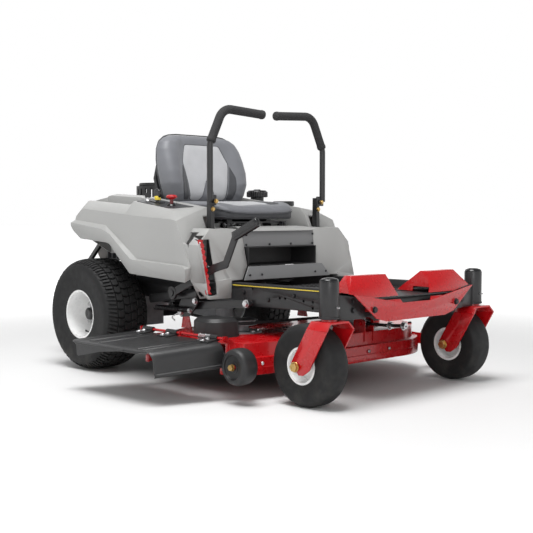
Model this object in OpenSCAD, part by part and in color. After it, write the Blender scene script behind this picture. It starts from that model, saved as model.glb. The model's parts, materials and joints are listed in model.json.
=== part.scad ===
// Zero-turn mower with a two-blade side-discharge deck.
// Millimetres. +Z is up, the machine faces -Y, and its discharge side is -X.
// The modules use machine coordinates: y = 0 over the rear axle, x = 0 in the middle
// of the frame, z = 0 on the ground. piece() then moves everything to the box's centre.

/* [Wheels] */
// Distance from the rear axle to the front axles
wheelbase = 1201; // [1190:1:1210]
// Diameter of a drive tyre
drive_d = 457; // [450:1:462]
// Width of a drive tyre
drive_w = 214; // [206:1:216]
// Distance between the middles of the drive tyres
drive_track = 842; // [840:1:848]
// Diameter of a caster tyre
caster_d = 279; // [270:1:282]
// Width of a caster tyre
caster_w = 102; // [90:1:104]
// Distance between the middles of the caster tyres
caster_track = 818; // [810:1:826]
// How far a caster axle trails behind its pivot
caster_trail = 84; // [76:1:88]

/* [Frame] */
// Outside width of the two rails
rail_out = 600; // [596:1:604]
// Width of one rail
rail_w = 38; // [34:1:40]
// Height of the rails' underside
rail_low = 302; // [298:1:303]
// Height of the rails' top
rail_high = 384; // [380:1:386]

/* [Deck] */
// Height of the deck's lower edge at rest
deck_low = 88; // [84:1:92]
// Height of the deck's top plate at rest
deck_high = 195; // [190:1:197]
// Radius of the deck shell round each blade
deck_r = 285; // [280:1:286]
// Distance of each blade spindle from the middle
spindle_x = 265; // [264:1:268]
// Length of one blade
blade_len = 524; // [500:1:530]

/* [Seat] */
// Half width of the seat back
seat_half = 232; // [220:1:238]
// Height of the seat back's top
seat_top = 980; // [960:1:990]
// Wall thickness of the moulded covers
wall = 4; // [3:0.5:5]

/* [Levers] */
// Distance of a control lever's upright from the middle
lever_x = 315; // [312:1:318]
// Diameter of a lever tube
lever_d = 24; // [22:1:26]
// Diameter of a foam grip
grip_d = 36; // [32:1:38]

/* [Hidden] */
$fn = 48;
eps = 0.01;
fit = 0.05;
gap = 1;
// Extremes of the whole machine, which put the origin at the middle of its footprint
chute_tip_x = -815;
roller_tip_x = 604;
front_y = -wheelbase - caster_d / 2;
rear_y = 539;
mid_x = (chute_tip_x + roller_tip_x) / 2;
mid_y = (front_y + rear_y) / 2;

drive_r = drive_d / 2;
caster_r = caster_d / 2;
drive_x = drive_track / 2;
caster_x = caster_track / 2;
pivot_y = -wheelbase - caster_trail;
rail_x1 = rail_out / 2;
rail_x0 = rail_x1 - rail_w;

spindle_right = [-spindle_x, -700];
spindle_left = [spindle_x, -778];
crank = [0, 130];
lift_axis = [-440, 335];
arm_axis = [-798, 312];
post_axis = [-568, 430];
swing_axis_z = 690;
seat_axis = [-506, 597];
chute_axis = [-552, 214];
roller_right = [-560, -1018];
roller_left = [560, -1000];
roller_z = 129;
roller_r = 63;
roller_w = 72;
cap_pos = [350, -150];
neck_r = 30;
knob_pos = [-342, -388];
throttle_pos = [-342, -300];
key_pos = [-342, -235];
hitch_pos = [0, 480];

light_grey = [0.66, 0.66, 0.65];
mid_grey = [0.33, 0.34, 0.35];
frame_black = [0.09, 0.09, 0.1];
machine_red = [0.72, 0.02, 0.03];
rubber_black = [0.06, 0.06, 0.06];

// ---------------------------------------------------------------- helpers

module piece(c) {
    color(c) translate([-mid_x, -mid_y, 0]) children();
}

module box(lo, hi) {
    translate(lo) cube(hi - lo);
}

// An outline of [y, z] points, extruded along X
module along_x(x0, x1, outline) {
    translate([x0, 0, 0]) rotate([90, 0, 90]) linear_extrude(x1 - x0) polygon(outline);
}

// An outline of [x, z] points, extruded along Y
module along_y(y0, y1, outline) {
    translate([0, y1, 0]) rotate([90, 0, 0]) linear_extrude(y1 - y0) polygon(outline);
}

module along_z(z0, z1, outline) {
    translate([0, 0, z0]) linear_extrude(z1 - z0) polygon(outline);
}

module rod_x(x0, x1, y, z, r) {
    translate([x0, y, z]) rotate([0, 90, 0]) cylinder(h = x1 - x0, r = r);
}

module rod_y(y0, y1, x, z, r) {
    translate([x, y0, z]) rotate([-90, 0, 0]) cylinder(h = y1 - y0, r = r);
}

module rod_z(z0, z1, x, y, r) {
    translate([x, y, z0]) cylinder(h = z1 - z0, r = r);
}

// Drawn for the left side and mirrored for the right
module on_side(side) {
    if (side == "left") children();
    else mirror([1, 0, 0]) children();
}

module both_sides() {
    children();
    mirror([1, 0, 0]) children();
}

// A flat bar between two [y, z] points, square across, from x0 to x1
module bar_x(x0, x1, a, b, w) {
    d = b - a;
    n = [-d[1], d[0]] * (w / 2 / norm(d));
    along_x(x0, x1, [a + n, b + n, b - n, a - n]);
}

// The solid round a set of corner points
module block(points) {
    hull() polyhedron(points, [[for (i = [0 : len(points) - 1]) i]]);
}

// The stations [x, z, lean] of a tube that starts at the origin along +Z and bends in
// its own XZ plane. Each step is [straight length, bend radius, bend angle].
function tube_path(steps, at = [0, 0, 0], i = 0) =
    i == len(steps) ? [] :
    let (length = steps[i][0], bend = steps[i][1], angle = steps[i][2], side = sign(angle),
         a = at[2], p = [at[0] + length * sin(a), at[1] + length * cos(a), a],
         c = [p[0] + side * bend * cos(a), p[1] - side * bend * sin(a)],
         arcs = max(1, round(abs(angle) / 9)),
         arc = [for (k = [1 : arcs]) let (t = a + angle * k / arcs)
             [c[0] - side * bend * cos(t), c[1] + side * bend * sin(t), t]])
    concat([p], angle == 0 ? [] : arc, tube_path(steps, angle == 0 ? p : arc[arcs - 1], i + 1));

function tube_ring(s, r, sides) = [
    for (k = [0 : sides - 1]) let (t = 360 * k / sides)
        [s[0] + r * cos(t) * cos(s[2]), r * sin(t), s[1] - r * cos(t) * sin(s[2])]
];

module bent_tube(steps, r, first = 0, sides = 16) {
    path = concat([[0, 0, 0]], tube_path(steps));
    skin([for (i = [first : len(path) - 1]) tube_ring(path[i], r, sides)]);
}

// Skin through sections, each a list of [x, y, z] points of the same length
module skin(sections) {
    n = len(sections[0]);
    last = len(sections) - 1;
    polyhedron(
        points = [for (s = sections) for (p = s) p],
        faces = concat(
            [[for (k = [0 : n - 1]) k]],
            [for (s = [0 : last - 1]) for (k = [0 : n - 1])
                [s * n + k, (s + 1) * n + k, s * n + (k + 1) % n]],
            [for (s = [0 : last - 1]) for (k = [0 : n - 1])
                [s * n + (k + 1) % n, (s + 1) * n + k, (s + 1) * n + (k + 1) % n]],
            [[for (k = [n - 1 : -1 : 0]) last * n + k]]
        )
    );
}

// A belt's path round pulleys, each [x, y, radius], all on the inside of the belt
module belt_loop(pulleys, z0, z1, thick) {
    translate([0, 0, z0]) linear_extrude(z1 - z0) difference() {
        hull() for (p = pulleys) translate([p[0], p[1]]) circle(p[2] + thick, $fn = 32);
        hull() for (p = pulleys) translate([p[0], p[1]]) circle(p[2], $fn = 32);
    }
}

// A grooved pulley round Z
module pulley(z0, r, h, rim) {
    translate([0, 0, z0]) rotate_extrude() polygon([
        [0, 0], [r + rim, 0], [r + rim, h * 0.08], [r, h * 0.2], [r, h * 0.8],
        [r + rim, h * 0.92], [r + rim, h], [0, h]
    ]);
}

// ---------------------------------------------------------------- frame

module rail() {
    hole_r = 5;
    wall_t = 4;
    rail_front = pivot_y + 46;
    rail_rear = 300;
    rail_holes = [[-807, 367], [-948, 340], [-975, 340], [-1066, 337], [-1110, 336], [-1110, 314]];
    difference() {
        box([rail_x0, rail_front, rail_low], [rail_x1, rail_rear, rail_high]);
        box([rail_x0 + wall_t, rail_front - 1, rail_low + wall_t],
            [rail_x1 - wall_t, rail_rear + 1, rail_high - wall_t]);
        for (h = rail_holes) rod_x(rail_x1 - wall_t - 1, rail_x1 + 1, h[0], h[1], hole_r);
        rod_x(rail_x0 - 1, rail_x1 + 1, lift_axis[0], lift_axis[1], 12 + fit);
    }
}

// Upright that carries a control post's pivot pin
module post_bracket() {
    pin_r = 8;
    plate = [[-598, rail_high], [-530, rail_high], [-545, 452], [-590, 452]];
    along_x(rail_x0 + 2, rail_x0 + 8, plate);
    rod_x(rail_x0 + 8 - eps, lever_x - 3, post_axis[0], post_axis[1], pin_r);
}

module seat_stand() {
    foot_x = 180;
    stand_w = 30;
    top_z = 578;
    for (y = [-470, -215]) {
        box([foot_x, y, rail_high - 4], [foot_x + stand_w, y + stand_w, top_z]);
        box([foot_x - eps, y, rail_high - 24], [rail_x0 + eps, y + stand_w, rail_high - 4]);
    }
}

module main_frame() piece(frame_black) {
    cross_t = 40;
    both_sides() {
        rail();
        post_bracket();
        seat_stand();
        rod_x(rail_x1 - eps, rail_x1 + 26, arm_axis[0], arm_axis[1], 9);
    }
    for (y = [-900, -300, 20]) box([-rail_x0, y, rail_low + 20], [rail_x0, y + cross_t, rail_high - 30]);
    for (y = [-470, -215]) box([-180, y, 553], [180, y + 30, 578]);
    hinge_ears();
}

// Two ears with a pin each, on which the seat plate tips forward
module hinge_ears() {
    ear_x = 150;
    for (s = [-1, 1]) {
        along_x(s * ear_x - 3, s * ear_x + 3,
            [[-470 + eps, 560], [-470 + eps, 578], [-498, 606], [-514, 606], [-514, 588]]);
        rod_x(s * ear_x - 18, s * ear_x + 18, seat_axis[0], seat_axis[1], 5);
    }
}

module front_beam() piece(frame_black) {
    tube_r = 33;
    tube_z = [299, 421];
    beam = [[-378, 293], [378, 293], [378, 350], [-378, 350]];
    plate = [[380, 293], [380, 376], [292, 366], [245, 289]];
    difference() {
        union() {
            along_y(pivot_y - 12, pivot_y + 44, beam);
            both_sides() {
                rod_z(tube_z[0], tube_z[1], caster_x, pivot_y, tube_r);
                along_y(pivot_y - 18, pivot_y - 12 + eps, plate);
                along_y(pivot_y + 44 - eps, pivot_y + 45, [[380, 293], [380, 376], [rail_x1, 376], [rail_x1, 293]]);
            }
        }
        along_y(pivot_y - 8, pivot_y + 40, [[-360, 297], [360, 297], [360, 346], [-360, 346]]);
        both_sides() rod_z(352, 378, caster_x, pivot_y, tube_r - 1);
        both_sides() rod_z(290, 415, caster_x, pivot_y, 16 + fit);
    }
}

module rear_frame() piece(frame_black) {
    plate_z = 400;
    guard_r = 14;
    hitch_hole_r = 9.6;
    guard_x = rail_x1 - 14;
    guard_z = 320;
    // Engine plate, on two rear uprights
    difference() {
        box([-rail_x0 - 20, -30, plate_z - 6], [rail_x0 + 20, 400, plate_z]);
        rod_z(plate_z - 7, plate_z + 1, crank[0], crank[1], 70);
    }
    both_sides() {
        box([rail_x0, -20, rail_high], [rail_x0 + 20, 300, plate_z - 6 + eps]);
        box([rail_x0, 300, 262], [rail_x1, 306, plate_z - 6 + eps]);
    }
    // Rear skirt plate and the hitch shelf
    box([-rail_x1, 306 - eps, 150], [rail_x1, 312, 330]);
    difference() {
        box([-70, 312 - eps, 262], [70, rear_y - 4, 268]);
        rod_z(261, 269, hitch_pos[0], hitch_pos[1], hitch_hole_r);
    }
    // Guard: a bent tube low round the back, and a brace up to each fender
    both_sides() {
        translate([guard_x, 312 - eps, guard_z]) rotate([-90, 180, 0])
            bent_tube([[rear_y - 312 - 60 - guard_r, 60, 90], [guard_x - 60, 1, 0]], guard_r);
        box([guard_x - 12, 306 - eps, 262], [guard_x + 12, 322, guard_z + 20]);
        bar_x(guard_x - 8, guard_x + 8, [385, guard_z + 2], [143, 541], 16);
    }
}

module foot_platform() piece([0.13, 0.13, 0.14]) {
    tread_z = 358;
    tread_t = 4;
    beam_back = pivot_y + 46;
    rear = -700;
    rib_step = 60;
    box([-rail_x0 + gap, beam_back, tread_z - tread_t], [rail_x0 - gap, rear, tread_z]);
    box([-220, pivot_y - 38, tread_z - tread_t], [220, beam_back + eps, tread_z]);
    for (y = [beam_back + rib_step : rib_step : rear - rib_step])
        box([-rail_x0 + 20, y, tread_z - eps], [rail_x0 - 20, y + 14, tread_z + 2]);
}

// One riser of the footrest: a bent sheet with a sloping front, a flat top and two cheeks
module riser(t) {
    zt = 434 - t;
    block([
        [81 + t, -1331 + t, 335 - 3 * t], [339 - t, -1313 + t, 377 - 3 * t],
        [119 + t, -1284 + t, zt], [290 - t, -1277 + t, zt],
        [125 + t, -1249, zt], [290 - t, -1247, zt],
        [125 + t, -1142 + t, 360 - 3 * t], [300 - t, -1200 + t, 376 - 3 * t]
    ]);
}

module footrest() piece(machine_red) {
    sheet = 4;
    face = [[-339, 377], [-221, 289], [-165, 276], [165, 276], [221, 289], [339, 377],
            [240, 361], [81, 335], [-81, 335], [-240, 361]];
    bolt_r = 5;
    difference() {
        union() {
            difference() {
                union() {
                    along_y(-1331, -1327, face);
                    both_sides() riser(0);
                }
                both_sides() riser(sheet);
                box([-400, -1310, 250], [400, pivot_y + 60, 378]);
                box([-222, pivot_y - 40, 300], [222, -1100, 360]);
            }
            both_sides() box([226, -1327 - eps, 312], [242, pivot_y - 12, 328]);
        }
        for (s = [-1, 1]) rod_y(-1340, -1299, s * 233, 320, bolt_r);
        // Cut away over the rails
        both_sides() box([rail_x0 - 1, pivot_y + 45, 250], [rail_x1 + 1, -1100, rail_high + 0.2]);
    }
}

// ---------------------------------------------------------------- covers

// Heights along a fender, each a list of [y, z]
ridge_line = [[-617, 452], [-536, 636], [-506, 668], [-118, 717], [100, 728], [135, 700]];
top_line = [[-617, 448], [-534, 630], [-470, 655], [-213, 691], [-190, 674], [105, 695], [135, 655]];
belt_line = [[-617, 444], [-532, 619], [-277, 634], [88, 664], [135, 630]];
ledge_line = [[-617, 440], [-580, 449], [-295, 464], [-84, 596], [135, 616]];
skirt_line = [[-617, 436], [-600, 447], [-282, 462], [-140, 562], [-60, 588], [135, 604]];
hem_line = [[-617, 387], [-275, 407], [-135, 525], [65, 539], [119, 572], [135, 590]];
fender_in = rail_x0;
fender_stations = [-617, -600, -580, -534, -506, -470, -295, -277, -213, -190, -140, -118,
                   -84, 65, 88, 105, 119, 135];

function fender_section(y, t) = [
    [fender_in + t, y, 470 - 20 * t],
    [fender_in + t, y, lookup(y, ridge_line) - 1.5 * t],
    [398 - t, y, lookup(y, top_line) - 1.5 * t],
    [440 - t, y, lookup(y, belt_line) - t],
    [443 - t, y, lookup(y, ledge_line) - t],
    [466 - t, y, lookup(y, skirt_line) - t],
    [466 - t, y, lookup(y, hem_line) - 20 * t]
];

module fender_solid() {
    skin([for (y = fender_stations) fender_section(y, 0)]);
}

module fender_inside() {
    ends = [-617 + 1.5 * wall, 135 - wall];
    inner = [for (y = fender_stations) if (y > ends[0] && y < ends[1]) y];
    skin([for (y = concat([ends[0]], inner, [ends[1]])) fender_section(y, wall)]);
}

// The front wall is open below the pod's top and slotted above it, where the control post moves
module fender_base() {
    difference() {
        fender_solid();
        fender_inside();
        along_y(-640, -530, [[fender_in + wall + 4, 300], [436, 300], [436, 520], [366, 584],
            [fender_in + wall + 4, 584]]);
        box([fender_in - 1, -640, 300], [fender_in + wall + 6, -530, 584]);
        box([fender_in - 1, -460, 440], [fender_in + 10, -200, 520]);
        box([283, -640, 560], [309, -533, 760]);
    }
}

module pocket_wall(lo, hi) {
    intersection() {
        fender_solid();
        box(lo - [wall, wall, wall], hi + [wall, wall, 0]);
    }
}

module fender_right() piece(light_grey) mirror([1, 0, 0]) {
    tray_lo = [292, -172, 650];
    tray_hi = [384, 112, 760];
    difference() {
        union() {
            fender_base();
            pocket_wall(tray_lo, tray_hi);
        }
        box(tray_lo, tray_hi);
        for (p = [knob_pos, key_pos]) rod_z(560, 760, -p[0], p[1], 14);
        box([-throttle_pos[0] - 14, throttle_pos[1] - 26, 560], [-throttle_pos[0] + 14, throttle_pos[1] + 26, 760]);
    }
}

module fender_left() piece(light_grey) {
    cup = [340, -330];
    cup_r = 42;
    cup_floor = 590;
    bin_lo = [292, -120, 650];
    bin_hi = [384, 112, 760];
    difference() {
        union() {
            fender_base();
            pocket_wall(bin_lo, bin_hi);
            intersection() {
                fender_solid();
                rod_z(cup_floor - wall, 760, cup[0], cup[1], cup_r + wall);
            }
        }
        box(bin_lo, bin_hi);
        rod_z(cup_floor, 760, cup[0], cup[1], cup_r);
        rod_z(600, 780, cap_pos[0], cap_pos[1], 40);
    }
}

// Front pod: an upper block and a leg, both hollow, with a slot for the control post
module pod_solid(t) {
    top = 584 - t;
    block([
        [200 + t, -637 + t, 578 - t], [193 + t, -664 + t, 442], [246 + t, -694 + t, 393 + t],
        [420 - t, -676 + t, 384], [422 - t, -640 + t, 524 - t], [361 - t, -637 + t, top],
        [234 + t, -637 + t, top], [372 - t, -552 - t, top + 3], [441 - t, -569 - t, 530 - t],
        [440 - t, -622 + t, 388], [234 + t, -552 - t, top + 3], [200 + t, -552 - t, 578 - t],
        [200 + t, -600 - t, 400]
    ]);
    block([
        [300 + t, -694 + t, 400], [420 - t, -676 + t, 384], [408 - t, -688 + t, 325 - 5 * t],
        [300 + t, -690 + t, 325 - 5 * t], [300 + t, -624 - t, 400], [438 - t, -622 - t, 388],
        [408 - t, -634 - t, 325 - 5 * t], [300 + t, -634 - t, 325 - 5 * t]
    ]);
}

module pod_shell() {
    difference() {
        pod_solid(0);
        translate([0, 0, -eps]) pod_solid(wall);
        // Open at the back, and open for the post's travel
        box([205, -600, 380], [434, -540, 572]);
        box([304, -634, 300], [404, -600, 560]);
        box([279, -612, 560], [313, -530, 600]);
    }
}

module pod_left() piece(light_grey) {
    difference() {
        pod_shell();
        // Slim grip slot low on the outer side
        along_x(400, 460, [[-640, 508], [-646, 500], [-668, 446], [-662, 440]]);
    }
}

module pod_right() piece(light_grey) mirror([1, 0, 0]) {
    slot_x = [369, 411];
    difference() {
        pod_shell();
        box([slot_x[0], -720, 338], [slot_x[1], -600, 546]);
        mirror([1, 0, 0]) gate_place() box([gate_x[0] - gap, -gap, -gate_h - gap], [gate_x[1] + gap, 3 + gap, gap]);
    }
}

// The notched gate lies in the slot, on the slope of the pod's front
gate_x = [-416, -390];
gate_h = 206;

module gate_place() {
    translate([0, -634, 545]) rotate([-12.8, 0, 0]) children();
}

module height_gate() piece(machine_red) {
    notch_r = 7;
    notch_count = 9;
    gate_place() difference() {
        box([gate_x[0], 0, -gate_h], [gate_x[1], 3, 0]);
        for (i = [0 : notch_count - 1]) rod_y(-1, 4, gate_x[1] + 2, -gate_h * (i + 0.5) / notch_count, notch_r);
    }
}

module dash_panel() piece(mid_grey) {
    side = [[-650, 514], [-645, 514], [-632, 576], [-600, 584], [-552, 586], [-552, 590],
            [-602, 588], [-637, 580]];
    along_x(-196, 196, side);
}

module lower_panel() piece(mid_grey) {
    difference() {
        along_y(-706, -670, [[-242, 389], [242, 389], [206, 440], [-206, 440]]);
        along_x(-300, 300, [[-720, 380], [-703, 380], [-684, 450], [-720, 450]]);
        along_x(-300, 300, [[-698, 380], [-660, 380], [-660, 450], [-679, 450]]);
    }
}

// Open storage shelf between the two front panels
module storage_bin() piece([0.16, 0.16, 0.17]) {
    lo = [-190, -668, 440];
    hi = [190, -520, 513];
    t = 3;
    difference() {
        box(lo, hi);
        box(lo + [t, -t, t], hi - [t, t, t]);
    }
}

module console_panel() piece([0.12, 0.12, 0.13]) mirror([1, 0, 0]) {
    panel_t = 2;
    outline = [[296, -468], [372, -440], [388, -425], [388, -222], [366, -205], [296, -160]];
    difference() {
        intersection() {
            translate([0, 0, panel_t]) fender_solid();
            along_z(600, 760, outline);
        }
        fender_solid();
        for (p = [knob_pos, key_pos]) rod_z(560, 760, -p[0], p[1], 8);
        box([-throttle_pos[0] - 6, throttle_pos[1] - 24, 560], [-throttle_pos[0] + 6, throttle_pos[1] + 24, 760]);
    }
}

// ---------------------------------------------------------------- engine and drive

module engine_block() piece([0.16, 0.16, 0.17]) {
    fin_count = 7;
    case_r = 100;
    difference() {
        union() {
            rod_z(400 + eps, 560, crank[0], crank[1], case_r);
            box([-140, crank[1] - 20, 430], [140, crank[1] + 190, 560]);
            for (i = [0 : fin_count - 1]) box([-165, crank[1] - 40 + 34 * i, 440], [165, crank[1] - 34 + 34 * i, 550]);
        }
        rod_z(390, 470, crank[0], crank[1], 14 + fit);
    }
}

// Blower housing: a box over the cylinders and a round screened intake on top
module engine_shroud() piece([0.1, 0.1, 0.11]) {
    slot_count = 24;
    body = [[-150, -14], [150, -14], [175, 20], [175, 300], [120, 340], [-120, 340], [-175, 300], [-175, 20]];
    translate([0, crank[1], 0]) difference() {
        union() {
            translate([0, -crank[1], 0]) along_z(560 + gap, 690, body);
            rod_z(690 - eps, 766, 10, 0, 108);
            rod_z(766 - eps, 776, 10, 0, 96);
        }
        rod_z(700, 768, 10, 0, 100);
        rod_z(760, 790, 10, 0, 30);
        rod_z(560, 676, 0, 0, 104);
        for (i = [0 : slot_count - 1]) translate([10, 0, 0]) rotate([0, 0, i * 360 / slot_count]) {
            box([94, -4, 712], [112, 4, 754]);
            if (i % 2 == 0) box([42, -4, 760], [88, 4, 780]);
        }
    }
}

module muffler() piece([0.2, 0.19, 0.19]) {
    can_r = 48;
    axis_y = 400;
    axis_z = 470;
    rod_x(-120, 120, axis_y, axis_z, can_r);
    rod_x(120 - eps, 150, axis_y, axis_z, 18);
    both_sides() rod_y(crank[1] + 190 + gap, axis_y, 70, axis_z, 15);
}

module fuel_tank() piece([0.08, 0.08, 0.08]) {
    lo = [296, -280, 470];
    hi = [420, -100, 590];
    t = 4;
    difference() {
        union() {
            box(lo, hi);
            rod_z(hi[2] - eps, 730, cap_pos[0], cap_pos[1], neck_r);
        }
        box(lo + [t, t, t], hi - [t, t, t]);
        rod_z(hi[2] - 2 * t, 731, cap_pos[0], cap_pos[1], neck_r - 4);
    }
}

module fuel_cap() piece([0.05, 0.05, 0.05]) {
    cap_r = 46;
    cap_z = [715, 757];
    grip_count = 24;
    difference() {
        union() {
            rod_z(cap_z[0], cap_z[1], cap_pos[0], cap_pos[1], cap_r);
            for (i = [0 : grip_count - 1]) translate([cap_pos[0], cap_pos[1], 0])
                rotate([0, 0, i * 360 / grip_count]) rod_z(cap_z[0], cap_z[1] - 4, cap_r, 0, 2.5);
        }
        rod_z(cap_z[0] - 1, cap_z[1] - 6, cap_pos[0], cap_pos[1], 36);
    }
    rod_z(cap_z[0] - 20, cap_z[1] - 5, cap_pos[0], cap_pos[1], neck_r - 4 - fit);
}

module battery() piece([0.07, 0.07, 0.08]) {
    lo = [-95, -420, 361];
    hi = [95, -300, 540];
    terminal_r = 9;
    box(lo, hi);
    for (x = [-70, 70]) rod_z(hi[2] - eps, hi[2] + 12, x, -360, terminal_r);
}

module transaxles() piece([0.35, 0.35, 0.36]) both_sides() {
    shaft_r = 19;
    box([150, -90, 170], [255, 90, 296]);
    rod_x(254, 322, 0, drive_r, 42);
    rod_x(321, 452, 0, drive_r, shaft_r);
    rod_z(295, 300, 190, 20, 40);
    translate([190, 20, 0]) pulley(299, 48, 18, 7);
}

// Engine shaft with the two belt grooves and the blade clutch under them
module crank_pulley() piece([0.4, 0.4, 0.42]) translate([crank[0], crank[1], 0]) {
    shaft_r = 14;
    pulley(299, 55, 18, 7);
    pulley(225, 62, 18, 7);
    rod_z(246, 300, 0, 0, 48);
    rod_z(222, 460, 0, 0, shaft_r);
}

module drive_belt() piece(rubber_black) {
    loose = 0.3;
    belt_loop([[-190, 20, 48 + loose], [190, 20, 48 + loose], [crank[0], crank[1], 55 + loose]],
        303, 313, 6);
}

module chassis_bolts() piece([0.06, 0.06, 0.06]) {
    head_r = 8;
    for (s = [-1, 1]) {
        for (z = [322, 353]) rod_y(pivot_y - 25, pivot_y - 18, s * 310, z, head_r);
        rod_y(-1338, -1331, s * 233, 320, head_r);
        rod_y(-1331 - eps, -1300, s * 233, 320, 5 - fit);
        rod_y(-655, -650, s * 186, 520, 5);
    }
}

// ---------------------------------------------------------------- controls

module control_post(side) {
    half = 11;
    on_side(side) difference() {
        union() {
            along_x(296 - 9, 296 + 9, [[post_axis[0] - 16, post_axis[1] - 16],
                [post_axis[0] + 16, post_axis[1] - 16], [post_axis[0] + half, 708],
                [post_axis[0] - half, 708]]);
            rod_y(-596, -568, 296, swing_axis_z, 5);
            rod_y(-600, -595, 296, swing_axis_z, 9);
        }
        rod_x(270, 330, post_axis[0], post_axis[1], 8 + fit);
    }
}

module control_post_right() piece(frame_black) control_post("right");
module control_post_left() piece(frame_black) control_post("left");

lean_angle = 26;
lever_steps = [[207, 40, -lean_angle], [103, 62, -(90 - lean_angle + 3)], [168, 1, 0]];
grip_steps = [lever_steps[0], lever_steps[1], [172, 1, 0]];
grip_from = 4;

module lever_frame(side) {
    on_side(side) translate([lever_x, -587, 692]) children();
}

// The tube starts in a flat lug, which swings out on the post's bolt
module lever_tube(side) {
    lever_frame(side) bent_tube(lever_steps, lever_d / 2);
    on_side(side) difference() {
        along_y(-588, -580, [[282, 676], [lever_x + 6, 676], [lever_x + 6, 712], [282, 712]]);
        rod_y(-600, -560, 296, swing_axis_z, 5 + fit);
    }
}

module lever_tube_right() piece(frame_black) lever_tube("right");
module lever_tube_left() piece(frame_black) lever_tube("left");

module lever_grip(side) lever_frame(side) difference() {
    bent_tube(grip_steps, grip_d / 2, grip_from);
    bent_tube(lever_steps, lever_d / 2 + fit);
}

module lever_grip_right() piece(rubber_black) lever_grip("right");
module lever_grip_left() piece(rubber_black) lever_grip("left");

module height_lever() piece([0.12, 0.12, 0.13]) {
    bar = [-385, -379];
    bar_w = 30;
    route = [lift_axis, [-687, 440], [-750, 457], [-800, 552]];
    difference() {
        union() {
            for (i = [0 : 2]) bar_x(bar[0], bar[1], route[i], route[i + 1], bar_w);
            for (i = [1 : 3]) rod_x(bar[0], bar[1], route[i][0], route[i][1], bar_w / 2 + 1);
            rod_x(bar[0] - 2, bar[1] + 2, lift_axis[0], lift_axis[1], 26);
            bar_x(bar[0] - 6, bar[1] + 6, [-797, 560], [-908, 608], 32);
            rod_x(bar[0] - 6, bar[1] + 6, -908, 608, 16);
        }
        rod_x(bar[0] - 3, bar[1] + 3, lift_axis[0], lift_axis[1], 12 + fit);
    }
}

module lift_shaft() piece(frame_black) {
    crank_plate = [[-480, 300], [-400, 318], [-396, 352], [-425, 366], [-470, 352]];
    rod_x(-390, 330, lift_axis[0], lift_axis[1], 12);
    both_sides() difference() {
        along_x(rail_x1 + 6, rail_x1 + 12, crank_plate);
        for (i = [0 : 3]) rod_x(rail_x1, rail_x1 + 20, -468 + 16 * i, 312 + 4 * i, 4);
        rod_x(rail_x1, rail_x1 + 20, lift_axis[0], lift_axis[1], 12 - eps);
    }
}

module lift_arms() piece(frame_black) both_sides() {
    arm_x = [rail_x1 + 16, rail_x1 + 24];
    difference() {
        union() {
            bar_x(arm_x[0], arm_x[1], arm_axis, [-470, 282], 28);
            rod_x(arm_x[0], arm_x[1], arm_axis[0], arm_axis[1], 17);
            rod_x(arm_x[0], arm_x[1], -470, 282, 14);
        }
        rod_x(arm_x[0] - 1, arm_x[1] + 1, arm_axis[0], arm_axis[1], 9 + fit);
    }
}

module blade_clutch_knob() piece(machine_red) {
    top = 700;
    rod_z(640, top, knob_pos[0], knob_pos[1], 7);
    translate([knob_pos[0], knob_pos[1], top - 2]) rotate_extrude()
        polygon([[0, 0], [8, 0], [21, 6], [21, 11], [14, 15], [0, 16]]);
}

module throttle_lever() piece([0.05, 0.05, 0.05]) {
    pivot_z = 650;
    rod_x(throttle_pos[0] - 3, throttle_pos[0] + 3, throttle_pos[1], pivot_z, 10);
    box([throttle_pos[0] - 3, throttle_pos[1] - 5, pivot_z], [throttle_pos[0] + 3, throttle_pos[1] + 5, 706]);
    rod_x(throttle_pos[0] - 6, throttle_pos[0] + 6, throttle_pos[1], 722, 19);
}

module ignition_key() piece([0.1, 0.1, 0.1]) {
    rod_z(650, 708, key_pos[0], key_pos[1], 7);
    box([key_pos[0] - 13, key_pos[1] - 2.5, 706], [key_pos[0] + 13, key_pos[1] + 2.5, 726]);
}

// ---------------------------------------------------------------- seat

module seat_plate() piece(frame_black) {
    plate = [[-494, 604], [-180, 604], [-180, 610], [-494, 610]];
    difference() {
        union() {
            along_x(-190, 190, plate);
            for (s = [-1, 1]) {
                along_x(s * 159 - 4, s * 159 + 4, [[-490, 609], [-490, 590], [-516, 586], [-516, 604], [-500, 610]]);
                box([s * 110 - 14, -470, 610 - eps], [s * 110 + 14, -200, 618]);
            }
        }
        for (s = [-1, 1]) rod_x(s * 159 - 12, s * 159 + 12, seat_axis[0], seat_axis[1], 5 + fit);
    }
}

module seat_shell() piece([0.08, 0.08, 0.09]) {
    base = [[-500, 622], [-190, 622], [-140, 650], [-100, 800], [-60, 940], [-70, 944], [-118, 790],
            [-152, 668], [-196, 640], [-500, 640]];
    outline = [[-200, 622], [200, 622], [210, 790], [140, 944], [-140, 944], [-210, 790]];
    for (s = [-1, 1]) difference() {
        box([s * 110 - 20, -440, 611], [s * 110 + 20, -230, 622 + eps]);
        box([s * 110 - 14.5, -441, 610], [s * 110 + 14.5, -229, 618.5]);
    }
    intersection() {
        along_x(-210, 210, base);
        along_y(-600, 0, outline);
    }
}

module seat_cushion() piece([0.36, 0.37, 0.39]) {
    side = [[-522, 652], [-505, 641], [-196, 641], [-196, 690], [-250, 694], [-440, 688], [-512, 676]];
    along_x(-seat_half + 6, seat_half - 6, side);
}

module seat_back() piece([0.36, 0.37, 0.39]) {
    side = [[-194, 690], [-160, 684], [-84, 962], [-110, seat_top], [-140, seat_top - 8], [-196, 760]];
    shape = [[-seat_half, 690], [seat_half, 690], [seat_half, 800], [150, seat_top], [-150, seat_top], [-seat_half, 800]];
    intersection() {
        along_x(-seat_half, seat_half, side);
        along_y(-300, 0, shape);
    }
}

// ---------------------------------------------------------------- deck

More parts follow.
